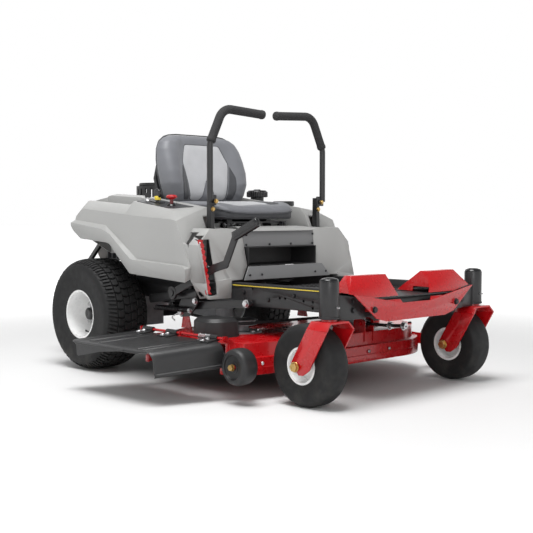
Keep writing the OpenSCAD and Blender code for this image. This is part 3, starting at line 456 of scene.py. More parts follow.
ROUNDED = {
    "fender_right": 2.5, "fender_left": 2.5, "pod_right": 3, "pod_left": 3, "dash_panel": 1,
    "footrest": 1.5, "caster_fork_right": 1.5, "caster_fork_left": 1.5, "deck_shell": 1.5,
    "front_beam": 1.5, "main_frame": 1.5, "height_lever": 1,
    "lower_panel": 1, "storage_bin": 1, "console_panel": 0.8, "engine_shroud": 3,
}
for node, width in ROUNDED.items():
    rounded_copy(node, frame["nodes"][node].data.materials[0], width)

# ------------------------------------------------------------------ repeats, lathe and sweep


def geometry_tree(name, inputs):
    """An empty Geometry Nodes tree with named inputs, each (socket type, value)."""
    tree = bpy.data.node_groups.new(name, "GeometryNodeTree")
    face = tree.interface
    face.new_socket("Geometry", in_out="INPUT", socket_type="NodeSocketGeometry")
    for label, (kind, value) in inputs.items():
        face.new_socket(label, in_out="INPUT", socket_type="NodeSocket" + kind).default_value = value
    face.new_socket("Geometry", in_out="OUTPUT", socket_type="NodeSocketGeometry")
    return tree, tree.nodes.new("NodeGroupInput"), tree.nodes.new("NodeGroupOutput")


def geo(tree, kind, inputs=None, **settings):
    node = tree.nodes.new(kind)
    for key, value in settings.items():
        setattr(node, key, value)
    for key, value in (inputs or {}).items():
        if isinstance(value, bpy.types.NodeSocket):
            tree.links.new(value, node.inputs[key])
        else:
            node.inputs[key].default_value = value
    return node


def row_and_ring_tree():
    """Copies a shape along a step, turning each copy further about Z: a row, a ring or a helix."""
    tree, given, out = geometry_tree("row_and_ring", {
        "Count": ("Int", 8), "Step": ("Vector", (0, 0, 0)), "Turn": ("Float", 0.0),
        "Finish": ("Material", None)})
    spots = geo(tree, "GeometryNodeMeshLine", {
        "Count": given.outputs["Count"], "Offset": given.outputs["Step"]})
    number = geo(tree, "GeometryNodeInputIndex").outputs[0]
    angle = geo(tree, "ShaderNodeMath", {0: number, 1: given.outputs["Turn"]},
                operation="MULTIPLY").outputs[0]
    turned = geo(tree, "ShaderNodeCombineXYZ", {2: angle}).outputs[0]
    copies = geo(tree, "GeometryNodeInstanceOnPoints", {
        "Points": spots.outputs["Mesh"], "Instance": given.outputs["Geometry"], "Rotation": turned})
    real = geo(tree, "GeometryNodeRealizeInstances", {"Geometry": copies.outputs[0]})
    done = geo(tree, "GeometryNodeSetMaterial", {
        "Geometry": real.outputs[0], "Material": given.outputs["Finish"]})
    tree.links.new(done.outputs[0], out.inputs[0])
    return tree


ROW_AND_RING = row_and_ring_tree()


def grown(piece, tree, **values):
    """Runs a Geometry Nodes tree on a piece and keeps what it makes as the piece's mesh."""
    modifier = piece.modifiers.new(tree.name, "NODES")
    modifier.node_group = tree
    for item in tree.interface.items_tree:
        if item.in_out == "INPUT" and item.name.lower() in values:
            modifier[item.identifier] = values[item.name.lower()]
    settle(piece)
    return piece


def repeated(piece, count, step=(0, 0, 0), turn=0.0):
    """Count copies of a piece, stepped in metres and turned in degrees about Z."""
    finish = piece.data.materials[0]
    grown(piece, ROW_AND_RING, count=count, step=[float(s) for s in step], turn=math.radians(turn),
          finish=finish)
    return piece


def joined(name, pieces):
    """One piece out of several, keeping each one's finish."""
    shape, finishes = bmesh.new(), []
    for piece in pieces:
        first = len(shape.faces)
        shape.from_mesh(piece.data)
        shape.faces.ensure_lookup_table()
        for index in range(first, len(shape.faces)):
            face = shape.faces[index]
            finish = piece.data.materials[face.material_index]
            if finish not in finishes:
                finishes.append(finish)
            face.material_index = finishes.index(finish)
        bpy.data.objects.remove(piece)
    mesh = bpy.data.meshes.new(name)
    shape.to_mesh(mesh)
    shape.free()
    return link(name, mesh, *finishes)


def frame_on(place, axis, up=Z):
    """The matrix whose Z runs along an axis, placed at a point."""
    z = Vector(axis).normalized()
    x = up.cross(z) if abs(up.dot(z)) < 0.99 else X.cross(z)
    x.normalize()
    y = z.cross(x)
    return Matrix.Translation(place) @ Matrix((x, y, z)).transposed().to_4x4()


def placed(piece, matrix):
    piece.data.transform(matrix)
    piece.data.update()
    return piece


def lathe(name, profile, finish, place=None, axis=Z, steps=48, angle=35):
    """A solid of revolution. The profile is a closed loop of (radius, height) in millimetres."""
    shape = bmesh.new()
    rings = []
    for radius, height in profile:
        if radius < 1e-6:
            rings.append([shape.verts.new((0, 0, height * MM))])
            continue
        turns = [2 * math.pi * k / steps for k in range(steps)]
        rings.append([shape.verts.new((radius * math.cos(t) * MM, radius * math.sin(t) * MM, height * MM))
                      for t in turns])
    for a, b in zip(rings, rings[1:] + rings[:1]):
        if len(a) == 1 and len(b) == 1:
            continue
        for k in range(steps):
            n = (k + 1) % steps
            corners = [a[k % len(a)], a[n % len(a)], b[n % len(b)], b[k % len(b)]]
            shape.faces.new(list(dict.fromkeys(corners)))
    piece = from_bmesh(name, shape, finish, angle)
    return placed(piece, frame_on(place, axis)) if place is not None else piece


def rounded(points, radius, steps=4):
    """A list of 2-D points with each corner replaced by an arc that cuts it at the given distance."""
    out = []
    for index, here in enumerate(points):
        before, after = Vector(points[index - 1]), Vector(points[(index + 1) % len(points)])
        here = Vector(here)
        cut = min(radius, (before - here).length / 2.05, (after - here).length / 2.05)
        start, end = here + (before - here).normalized() * cut, here + (after - here).normalized() * cut
        for k in range(steps + 1):
            t = k / steps
            out.append(tuple(start * (1 - t) ** 2 + here * 2 * t * (1 - t) + end * t * t))
    return out


def smooth_path(points, radius, steps=8):
    """An open path through points in millimetres with its corners rounded, in the row frame."""
    points = [Vector(p) for p in points]
    out = [points[0]]
    for before, here, after in zip(points, points[1:], points[2:]):
        cut = min(radius, (before - here).length / 2.05, (after - here).length / 2.05)
        start, end = here + (before - here).normalized() * cut, here + (after - here).normalized() * cut
        out += [start * (1 - t) ** 2 + here * 2 * t * (1 - t) + end * t * t
                for t in (k / steps for k in range(steps + 1))]
    return [at(*p) for p in out + [points[-1]]]


def sweep(name, path, radius, finish, sides=12, cap=0.0, flat=1.0):
    """A closed round tube along a path in metres. The radius, in millimetres, may be a function of the
    share of the path. cap rounds the ends by that many millimetres, and flat squeezes the section."""
    size = radius if callable(radius) else (lambda share: radius)
    lengths = [0.0]
    for a, b in zip(path, path[1:]):
        lengths.append(lengths[-1] + (b - a).length)
    ahead = [(path[min(i + 1, len(path) - 1)] - path[max(i - 1, 0)]).normalized() for i in range(len(path))]
    side = (Z if abs(ahead[0].z) < 0.9 else X).cross(ahead[0]).normalized()
    rings = []
    for i, place in enumerate(path):
        if i:
            side = ahead[i - 1].rotation_difference(ahead[i]) @ side
        rings.append((place, side.copy(), ahead[i].cross(side), size(lengths[i] / lengths[-1])))
    if cap:
        for end, out, keep in ((0, -ahead[0], 1), (-1, ahead[-1], -1)):
            place, u, v, r = rings[end]
            extra = [(place + out * cap * MM * s, u, v, r * math.sqrt(1 - s * s)) for s in (0.5, 0.8, 0.97)]
            rings = (extra[::-1] + rings) if keep == 1 else (rings + extra)
    shape = bmesh.new()
    loops = []
    for place, u, v, r in rings:
        turns = [2 * math.pi * k / sides for k in range(sides)]
        loops.append([shape.verts.new(place + (u * math.cos(t) * flat + v * math.sin(t)) * r * MM)
                      for t in turns])
    skin(shape, loops)
    return from_bmesh(name, shape, finish, 50)


# ------------------------------------------------------------------ tyres and wheels


def tyre_profile(radius, width, bead):
    """How far out the tyre reaches at a distance from its middle, both in millimetres."""
    half = width / 2 * 1.04

    def reach(x):
        share = min(abs(x) / half, 1) ** (1 / 0.45)
        return bead + (radius - bead) * (1 - share * share) ** 0.275
    return reach


def carcass(name, radius, width, bead, sink, marks):
    """The moulded body of a tyre on its rim, sunk where the tread stands on it, with raised rings on
    its side walls at the given radii."""
    outer = []
    steps = 64
    for k in range(steps + 1):
        a = math.pi * k / steps
        rise = math.sin(a)
        r = bead + (radius - bead) * rise ** 0.55
        x = width / 2 * (0.9 + 0.14 * min(1, 2 * rise)) * math.copysign(abs(math.cos(a)) ** 0.45, math.cos(a))
        sunk = sink * min(max((rise - 0.66) / 0.2, 0), 1)
        mark = sum(0.9 * math.exp(-((r - m) / 1.6) ** 2) for m in marks)
        outer.append((r - sunk, x + math.copysign(mark, x)))
    inner = [(bead - 3, -width * 0.36), (bead + 8, -width * 0.34), (bead + 20, 0), (bead + 8, width * 0.34),
             (bead - 3, width * 0.36)]
    return lathe(name, outer + inner, RUBBER, steps=96, angle=50)


def lug(shape, outline, reach, radius, depth, chamfer=1.0):
    """One tread block. Its outline is a list of (across, around) in millimetres on the tyre's surface."""
    centre = [sum(p[i] for p in outline) / len(outline) for i in (0, 1)]
    rings = []
    for sunk, grow in ((depth, 0.06), (chamfer, 0.0), (0, -0.10)):
        ring = []
        for across, around in outline:
            x = across + (across - centre[0]) * grow
            s = around + (around - centre[1]) * grow
            r = reach(x) - sunk
            t = s / radius
            ring.append(shape.verts.new((r * math.cos(t) * MM, r * math.sin(t) * MM, x * MM)))
        rings.append(ring)
    skin(shape, rings)


def turf_tread(name, radius, width, bead, depth=9.0, pitches=42):
    """Four staggered rows of chevron blocks between two combs of shoulder bars."""
    pitch = 2 * math.pi * radius / pitches
    wide = width / 190
    reach = tyre_profile(radius, width, bead)
    shape = bmesh.new()
    for side in (-1, 1):
        for near, far, shift in ((2.5, 25, 0.0), (30, 53, 0.5)):
            half, middle, lean = pitch * 0.385, (near + far) / 2, 4.5 * side
            outline = [(near, -half), (middle, -half - lean), (far, -half), (far, half),
                       (middle, half - lean), (near, half)]
            lug(shape, [(side * x * wide, s + shift * pitch) for x, s in outline], reach, radius, depth)
        for number, far in ((0, 86), (1, 80)):
            width_of, slant = pitch * 0.29, 7 * side
            start = pitch * (0.5 * number + 0.1)
            bar = [(58, 0), (72, slant * 0.5), (far, slant), (far, slant + width_of * 0.9),
                   (72, slant * 0.5 + width_of), (58, width_of)]
            lug(shape, [(side * x * wide, s + start) for x, s in bar], reach, radius, depth)
    piece = from_bmesh(name, shape, RUBBER, 20)
    return repeated(piece, pitches, turn=360 / pitches)


def hex_head(shape, across, height, place=(0, 0, 0), washer=0.0):
    """A hexagon head with its corners turned off, and a washer under it, standing on z = place[2]."""
    radius = across / math.sqrt(3)
    levels = [(radius, 0), (radius, height * 0.82), (radius * 0.86, height)]
    rings = []
    for r, h in levels:
        ring = [shape.verts.new(((place[0] + r * math.cos(math.radians(60 * k))) * MM,
                                 (place[1] + r * math.sin(math.radians(60 * k))) * MM,
                                 (place[2] + h) * MM)) for k in range(6)]
        rings.append(ring)
    skin(shape, rings)
    if washer:
        bmesh.ops.create_cone(
            shape, cap_ends=True, segments=20, radius1=washer * MM, radius2=washer * 0.95 * MM, depth=2 * MM,
            matrix=Matrix.Translation(Vector(place) * MM + Vector((0, 0, MM))))


def bolt(name, place, axis, across, height, finish, washer=0.0):
    """A hexagon bolt head standing on a surface, its axis pointing out of it."""
    shape = bmesh.new()
    hex_head(shape, across, height, (0, 0, 0), washer)
    return placed(from_bmesh(name, shape, finish, 25), frame_on(place, axis))


def fit_drive_wheel(side):
    """Turf tyre, and what is bolted in the dish of its rim."""
    s, body = SIDES[side], "drive_wheel_" + side
    centre = middle("wheel_rear_" + side)
    low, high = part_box("tyre_rear_" + side)
    radius, width = (high.z - low.z) / 2 / MM, DRIVE_TYRE_WIDTH
    parts = [carcass("body", radius, width, 101, 9.0, (122, 128)), turf_tread("tread", radius, width, 101)]
    tyre = placed(joined("turf_tyre_" + side, parts), frame_on(centre, s * X))
    shade(tyre.data, 32)
    mount(tyre, body, "tyre", "tyre_rear_" + side)
    profile = rounded([(0, 8), (31, 8), (31, 20), (27, 22), (25, 52), (17, 56), (0, 56)], 2, 2)
    cap = lathe("hub_cap_" + side, profile, GLOSS_BLACK, centre, s * X, 40)
    mount(cap, body, "knob_black")
    nut = bolt("wheel_nuts_" + side, (57 * MM, 0, 8 * MM), Z, 19, 11, ZINC, 15)
    placed(repeated(nut, 5, turn=72), frame_on(centre, s * X))
    mount(nut, body, "drive_alloy")
    stem = [(0, 0), (4.2, 0), (4.2, 8), (3, 10), (3, 28), (4, 29), (4, 36), (0, 37)]
    valve = lathe("valve_stem_" + side, stem, BLACK_PLASTIC,
                  centre + Vector((s * 34, 0, -84)) * MM, Vector((s, 0, 0.45)), 16)
    mount(valve, body, "tyre")


def fit_caster(side):
    """Smooth tyre with raised rings on its side walls."""
    tyre = carcass("ribbed_tyre_" + side, 139.7, 102, 64, 0.0, (84, 88, 121))
    placed(tyre, frame_on(middle("wheel_front_" + side), SIDES[side] * X))
    mount(tyre, "caster_wheel_" + side, "tyre", "tyre_front_" + side)


for side in SIDES:
    fit_drive_wheel(side)
    fit_caster(side)

# ------------------------------------------------------------------ seat


def closed_curve(points, count):
    """Evenly numbered points on a smooth loop through control points (Catmull-Rom)."""
    out, total = [], len(points)
    for k in range(count):
        place = k / count * total
        i, t = int(place), place % 1
        p = [Vector(points[(i + j - 1) % total]) for j in range(4)]
        out.append(0.5 * (2 * p[1] + (p[2] - p[0]) * t + (2 * p[0] - 5 * p[1] + 4 * p[2] - p[3]) * t * t
                          + (3 * p[1] - p[0] - 3 * p[2] + p[3]) * t ** 3))
    return out


def stretch(value, table):
    """Straight-line lookup in a list of (at, value)."""
    for (a, va), (b, vb) in zip(table, table[1:]):
        if value <= b:
            return va + (vb - va) * max(0.0, (value - a) / (b - a))
    return table[-1][1]


def inflate(piece, voxel=5.0, pressure=4.0, most=9.0, still=None):
    """Fills a cover with foam: remeshes it, blows it up as cloth and keeps the result.
    No point moves further than most millimetres, and still names the points that stay put."""
    remesh = piece.modifiers.new("remesh", "REMESH")
    remesh.mode, remesh.voxel_size = "VOXEL", voxel * MM
    settle(piece)
    rest = [v.co.copy() for v in piece.data.vertices]
    cloth = piece.modifiers.new("cloth", "CLOTH")
    cloth.settings.use_pressure, cloth.settings.uniform_pressure_force = True, pressure
    cloth.settings.tension_stiffness = cloth.settings.compression_stiffness = 15
    cloth.settings.bending_stiffness = 2
    cloth.settings.effector_weights.gravity = 0
    scene = bpy.context.scene
    for number in range(1, 21):
        scene.frame_set(number)
    graph = bpy.context.evaluated_depsgraph_get()
    moved = [v.co.copy() for v in piece.evaluated_get(graph).data.vertices]
    piece.modifiers.clear()
    scene.frame_set(1)
    for vertex, before, after in zip(piece.data.vertices, rest, moved):
        step = after - before
        if still and still(before):
            step *= 0
        if step.length > most * MM:
            step.length = most * MM
        vertex.co = before + step
    soften = piece.modifiers.new("soften", "SMOOTH")
    soften.factor, soften.iterations = 0.5, 5
    finer = piece.modifiers.new("finer", "SUBSURF")
    finer.levels = finer.render_levels = 1
    settle(piece)
    shade(piece.data, 60)
    return piece


def sewn_panel(name, outline, finish, surface, crown=3.0, lift=1.2, rows=9):
    """A panel of another fabric sewn on a cushion. Its outline shrinks in rings towards its middle, and
    surface(u, v) gives the point of the cushion under it and the way out of the cushion."""
    centre = Vector((sum(p[0] for p in outline), sum(p[1] for p in outline))) / len(outline)
    shape = bmesh.new()
    loops = []
    for row in range(rows + 1):
        share = row / rows
        ring = []
        for point in outline:
            flat = centre + (Vector(point) - centre) * (1 - share * 0.97)
            place, out = surface(*flat)
            rise = -2.5 if row == 0 else lift + crown * math.sin(min(share * 2.2, 1) * math.pi / 2) ** 0.7
            ring.append(shape.verts.new(place + out * rise * MM))
        loops.append(ring)
    skin(shape, loops, ends=False)
    shape.faces.new(loops[-1])
    mesh = bpy.data.meshes.new(name)
    shape.to_mesh(mesh)
    shape.free()
    piece = link(name, mesh, finish)
    thick = piece.modifiers.new("thick", "SOLIDIFY")
    thick.thickness, thick.offset = 2 * MM, -1
    settle(piece)
    shade(piece.data, 60)
    return piece


def ray_surface(piece, ahead, place_of):
    """Returns surface(u, v) for sewn_panel: where a ray through place_of(u, v) meets the piece."""
    mesh = piece.data
    tree = BVHTree.FromPolygons([v.co for v in mesh.vertices], [p.vertices for p in mesh.polygons])

    def surface(u, v):
        start = place_of(u, v)
        place, out, _, _ = tree.ray_cast(start, ahead)
        if place is None:
            place, out, _, _ = tree.find_nearest(start + ahead * 0.12)
        return place, (-ahead * 0.7 + out * 0.3).normalized()
    return surface


def seam(name, path, finish, radius=1.6, closed=True):
    """A welt or thread lying along points in the row frame."""
    return sweep(name, path + [path[0]] if closed else path, radius, finish, 8)


# Height, half width, front of the middle, how far the bolsters come forward, back face
BACK_SHAPE = [
    (686, 204, -200, 12, -160), (720, 216, -208, 20, -152), (770, 226, -204, 32, -142),
    (820, 229, -192, 36, -132), (870, 228, -178, 32, -124), (915, 222, -166, 26, -118),
    (948, 207, -158, 18, -114), (968, 182, -150, 11, -114), (977, 154, -142, 5, -116),
    (980, 114, -134, 1, -120)]


def back_ring(level):
    width, front, wrap, rear = (
        stretch(level, [(row[0], row[column]) for row in BACK_SHAPE]) for column in (1, 2, 3, 4))
    half = [(0, front), (0.34 * width, front), (0.55 * width, front - 0.25 * wrap),
            (0.76 * width, front - wrap), (0.92 * width, front - 0.82 * wrap), (width, front + 12),
            (0.97 * width, rear - 12), (0.8 * width, rear), (0.4 * width, rear)]
    whole = half + [(0, rear)] + [(-x, y) for x, y in reversed(half[1:])]
    return [at(p.x, p.y, level) for p in closed_curve([(x, y, 0) for x, y in whole], 72)]


def seat_back_piece():
    levels = [686, 700, 720, 745, 770, 795, 820, 845, 870, 893, 915, 933, 948, 960, 968, 974, 978, 980]
    body = loft("seat_back_cover", [back_ring(level) for level in levels], VINYL_GREY)
    inflate(body, 5.0, 3.5, 5)
    surface = ray_surface(body, Y, lambda u, v: at(u, -330, v))
    panel = rounded([(-96, 936), (96, 936), (128, 858), (98, 700), (44, 698), (19, 782), (-19, 782),
                     (-44, 698), (-98, 700), (-128, 858)], 12, 4)
    light = sewn_panel("seat_back_centre", dense(panel, 9), VINYL_LIGHT, surface, 2.2)
    darks = []
    for s in (-1, 1):
        wedge = [(s * 131, 856), (s * 152, 800), (s * 150, 740), (s * 138, 697), (s * 104, 697)]
        wedge = wedge[::-1] if s > 0 else wedge
        darks.append(sewn_panel("insert", dense(rounded(wedge, 8, 3), 9), VINYL_DARK, surface, 1.6))
    inserts = joined("seat_back_inserts", darks)
    # The dark panel in the lumbar recess stands partly for the black shell seen through the gap there and
    # partly for painted shade in the recess.
    arch = rounded([(-41, 697), (41, 697), (17, 776), (-17, 776)], 6, 4)
    hollow = sewn_panel("seat_lumbar_shell_and_shade", dense(arch, 8), VINYL_DARK, surface, -2.0, 0.4)
    rim = [surface(u * 1.0, v)[0] for u, v in dense(panel, 9)]
    piping = seam("seat_back_piping", rim, VINYL_DARK, 1.5)
    edge = [at(x, stretch(z, [(r[0], r[4]) for r in BACK_SHAPE]) - 16, z) for x, z in back_outline()]
    welt = seam("seat_back_welt", edge, VINYL_DARK, 2.6, False)
    for piece in (body, light, inserts, hollow, piping, welt):
        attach(piece, "seat")
    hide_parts("seat_back")


def back_outline():
    """The seat back's edge, from one lower corner over the top to the other."""
    levels = [r[0] for r in BACK_SHAPE]
    fine = [levels[0] + (levels[-1] - levels[0]) * math.sin(k / 28 * math.pi / 2) for k in range(29)]
    side = [(stretch(z, [(r[0], r[1]) for r in BACK_SHAPE]) - 4, z - 1.5) for z in fine]
    return side + [(-x, z) for x, z in reversed(side)]


def dense(outline, step):
    """The outline with points no further apart than a step."""
    out = []
    for a, b in zip(outline, outline[1:] + outline[:1]):
        a, b = Vector(a), Vector(b)
        parts = max(1, round((b - a).length / step))
        out += [tuple(a + (b - a) * k / parts) for k in range(parts)]
    return out


def cushion_plan(inset=0.0, front=-545, rear=-206, half=236):
    """The cushion's outline from above, with its corners well rounded, as (x, y)."""
    corners = [(-half + 22, rear), (half - 22, rear), (half, rear - 90), (half, front + 110),
               (half - 44, front), (-half + 44, front), (-half, front + 110), (-half, rear - 90)]
    centre = Vector((0, (front + rear) / 2))
    outline = dense(rounded(corners, 46, 5), 14)
    return [tuple(centre + (Vector(p) - centre) * (1 - inset / 230)) for p in outline]


def cushion_height(x, y):
    """The top of the cushion: raised thighs and sides, a hollow for the seat and a rolled front."""
    side = 9 * min(abs(x) / 200, 1) ** 3
    front = 10 * max(0, (-440 - y) / 80) ** 2
    return 675 + side - front + 6 * math.cos((y + 330) / 170)


def seat_cushion_piece():
    rings = []
    for inset, drop in ((6, 22), (1, 18), (0, 10), (4, 3), (12, 0), (28, 0)):
        rings.append([at(x, y, cushion_height(x, y) - drop) for x, y in cushion_plan(inset)])
    top = loft("seat_cushion_cover", rings, VINYL_GREY)
    inflate(top, 5.0, 3.0, 4, still=lambda p: p.z < 0.661)
    surface = ray_surface(top, -Z, lambda u, v: at(u, v, 760))
    patch = [(-96, -496), (96, -496), (112, -400), (92, -240), (-92, -240), (-112, -400)]
    patch = dense(rounded(patch, 16, 4), 9)
    light = sewn_panel("seat_cushion_centre", patch, VINYL_LIGHT, surface, 2.0)
    darks = []
    for s in (-1, 1):
        wing = [(s * x, y) for x, y in (
            (101, -498), (168, -486), (150, -400), (122, -252), (97, -244), (117, -400))]
        wing = wing if s > 0 else wing[::-1]
        darks.append(sewn_panel("wing", dense(rounded(wing, 7, 3), 9), VINYL_DARK, surface, 1.4))
    wings = joined("seat_cushion_inserts", darks)
    skirt_rings = [[at(x, y, z) for x, y in cushion_plan(inset)]
                   for inset, z in ((12, 620), (7, 622), (4, 630))]
    skirt_rings += [[at(x, y, cushion_height(x, y) - drop) for x, y in cushion_plan(inset)]
                    for inset, drop in ((2, 22), (7, 18))]
    skirt = loft("seat_cushion_skirt", skirt_rings, VINYL_DARK)
    welts = [seam("welt", [at(x, y, cushion_height(x, y) - 19) for x, y in cushion_plan(0)], VINYL_DARK, 1.8),
             seam("welt", [at(x, y, 629) for x, y in cushion_plan(3.4)], VINYL_DARK, 1.4)]
    welt = joined("seat_cushion_welts", welts)
    for piece in (top, light, wings, skirt, welt):
        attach(piece, "seat")
    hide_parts("seat_cushion")


seat_back_piece()
seat_cushion_piece()

# ------------------------------------------------------------------ small parts


def sheet_block(name, low, high, finish, corner=2.0):
    """A plate or block between two machine points in millimetres, with its edges rolled."""
    shape = bmesh.new()
    bmesh.ops.create_cube(shape, size=1)
    low, high = at(*low), at(*high)
    size = high - low
    for vertex in shape.verts:
        vertex.co = low + Vector([(vertex.co[i] + 0.5) * size[i] for i in range(3)])
    piece = from_bmesh(name, shape, finish)
    bevel = piece.modifiers.new("rolled", "BEVEL")
    bevel.width, bevel.segments = corner * MM, 3
    settle(piece)
    shade(piece.data, 40)
    return piece


def helix(start, end, radius, turns, per_turn=14):
    """Points round the line from start to end, given in machine millimetres."""
    start, end = at(*start), at(*end)
    turn = frame_on(start, end - start)
    length = (end - start).length
    count = turns * per_turn
    return [turn @ Vector((radius * MM * math.cos(2 * math.pi * k / per_turn),
                           radius * MM * math.sin(2 * math.pi * k / per_turn), length * k / count))
            for k in range(count + 1)]


def dome_screw(name, place, axis, radius, finish):
    """A round-headed screw with a shallow socket."""
    profile = [(0, radius * 0.2), (radius * 0.42, radius * 0.2), (radius * 0.46, radius * 0.62),
               (radius * 0.8, radius * 0.42), (radius, 0.1), (radius, -0.5), (0, -0.5)]
    return lathe(name, profile, finish, place, axis, 20, 40)


# ---- casters and front beam


def fit_caster_bolts(side):
    s = SIDES[side]
    axle = [bolt("head", at(s * 484, -1201, 139.5), s * X, 27, 10, YELLOW_ZINC, 18),
            bolt("nut", at(s * 334, -1201, 139.5), -s * X, 27, 12, YELLOW_ZINC, 18)]
    fit("caster_axle_bolt_" + side, axle, "caster_" + side, "bolt_black")
    cap = rounded([(0, 420), (32, 420), (32, 424), (28, 430), (16, 434), (0, 435)], 2.5, 3)
    dome = lathe("pivot_cap_" + side, cap, GLOSS_BLACK, at(s * 409, -1285, 0), Z, 40)
    collar = lathe("pivot_collar_" + side, [(33, 300), (35, 300.5), (35, 306), (33, 307)], BLACK_OXIDE,
                   at(s * 409, -1285, 0), Z, 40)
    fit("pivot_fittings_" + side, [dome, collar], "chassis", "frame_black")
    nipple = [(0, 0), (3.4, 0), (3.4, 5), (2, 6), (2, 9), (3, 10), (3, 12), (0, 13.5)]
    greaser = lathe("grease_nipple_" + side, nipple, ZINC, at(s * 409, -1318, 338), -Y, 14)
    mount(greaser, "chassis", "drive_alloy")


def fit_beam_bolts():
    heads = []
    for s in (-1, 1):
        heads += [bolt("head", at(s * 310, -1303, z), -Y, 15, 7, BLACK_OXIDE, 11) for z in (322, 353)]
        heads.append(bolt("head", at(s * 233, -1331, 320), -Y, 17, 8, BLACK_OXIDE, 12))
        heads += [dome_screw("screw", at(s * x, -651, z), -Y, 5, BLACK_OXIDE)
                  for x, z in ((186, 522), (186, 560), (60, 522))]
        heads += [dome_screw("screw", at(s * 214, -702, 408), -Y, 5, BLACK_OXIDE),
                  dome_screw("screw", at(s * 150, -702, 408), -Y, 5, BLACK_OXIDE)]
    fit("frame_and_panel_screws", heads, "chassis", "bolt_black", "chassis_bolts")


def fit_rail_trim(side):
    """The pin stripe along the rail, and the bolts in its side."""
    s = SIDES[side]
    edges = [sheet_block("edge", (s * 300 - 0.8, -1238, z), (s * 300 + 0.8, -700, z + h), finish, 0.3)
             for z, h, finish in ((370, 11, BLACK_OXIDE), (373.5, 3.6, YELLOW))]
    for vertex in edges[1].data.vertices:
        vertex.co.x += s * 0.7 * MM
    fit("rail_stripe_" + side, edges, "chassis", "frame_black")
    spots = [(-760, 352), (-760, 322), (-890, 330), (-1018, 352), (-1160, 345), (-1200, 345)]
    heads = [bolt("head", at(s * 300, y, z), s * X, 13, 6, BLACK_OXIDE, 9) for y, z in spots]
    heads.append(bolt("arm_pivot", at(s * 326, -798, 312), s * X, 22, 9, ZINC, 15))
    fit("rail_bolts_" + side, heads, "chassis", "bolt_black")


# ---- levers and their posts


def lever_path(side, along=0.0):
    """The lever tube's centre line: up, a bend inwards, a lean and a bend over to the grip."""
    s, x, z, lean = SIDES[side], 315.0, 692.0, 0.0
    points = [(x, z, 0.0)]
    walked = [0.0]
    for straight, bend, angle in ((207, 40, 26), (103, 62, 67), (168 + along, 1, 0)):
        steps = 4
        for _ in range(steps):
            x, z = x - straight / steps * math.sin(lean), z + straight / steps * math.cos(lean)
            points.append((x, z, lean))
            walked.append(walked[-1] + straight / steps)
        arcs = round(angle / 5)
        for _ in range(arcs):
            part = math.radians(angle) / arcs
            chord = 2 * bend * math.sin(part / 2)
            lean += part / 2
            x, z = x - chord * math.sin(lean), z + chord * math.cos(lean)
            lean += part / 2
            points.append((x, z, lean))
            walked.append(walked[-1] + chord)
    return [at(s * px, -587, pz) for px, pz, _ in points], walked


def fit_lever(side):
    s = SIDES[side]
    path, _ = lever_path(side)
    tube = sweep("tube", path, 12, BLACK, 24)
    low, high = sorted((s * 282, s * 322))
    lug = sheet_block("lug", (low, -589, 674), (high, -580, 714), BLACK, 3)
    fit("lever_tube_" + side + "_finished", [tube, lug], "lever_" + side, "frame_black",
        "lever_tube_" + side)
    held, walked = lever_path(side, 4.0)
    first = next(i for i, w in enumerate(walked) if w > 207 + 16)
    grip_path = held[first:]
    collar = 9.0

    def thickness(share):
        ends = min(share, 1 - share) * 380
        return 17.2 + 1.5 * math.exp(-((ends - collar) / 5.5) ** 2)
    grip = sweep("lever_grip_" + side + "_foam", finer_path(grip_path, 4 * MM), thickness, FOAM, 28, 4)
    mount(grip, "lever_" + side, "grip_foam", "lever_grip_" + side)
    front = [bolt("swing_bolt", at(s * 296, -600, 690), -Y, 13, 7, YELLOW_ZINC, 9),
             bolt("stop_bolt", at(s * 296, -581, 660), -Y, 13, 7, YELLOW_ZINC, 9)]
    fit("post_bolts_" + side, front, "post_" + side, "bolt_black")
    pin = bolt("post_pivot_nut_" + side, at(s * 313, -568, 430), s * X, 22, 9, ZINC, 14)
    mount(pin, "chassis", "bolt_black")


def finer_path(path, step):
    """The path with points no further apart than a step in metres."""
    out = [path[0]]
    for a, b in zip(path, path[1:]):
        parts = max(1, round((b - a).length / step))
        out += [a + (b - a) * k / parts for k in range(1, parts + 1)]
    return out


def fit_height_lever():
    grip = sweep("height_lever_grip", finer_path([at(-382, -797, 560), at(-382, -918, 612)], 12 * MM), 18,
                 GLOSS_BLACK, 24, 5, 0.62)
    mount(grip, "height_linkage", "knob_black")
    turn = Matrix.Rotation(math.radians(-12.8), 4, "X")
    dots = []
    for number in range(9):
        place = at(0, -634, 545) + turn @ (Vector((-409, -0.2, -206 * (number + 0.5) / 9)) * MM)
        dots.append(lathe("dot", [(0, -0.2), (3.2, -0.2), (3.2, 0.5), (0, 0.8)], WHITE, place, turn @ -Y, 14))
    fit("height_gate_marks", dots, "chassis", "machine_red")


# ---- console


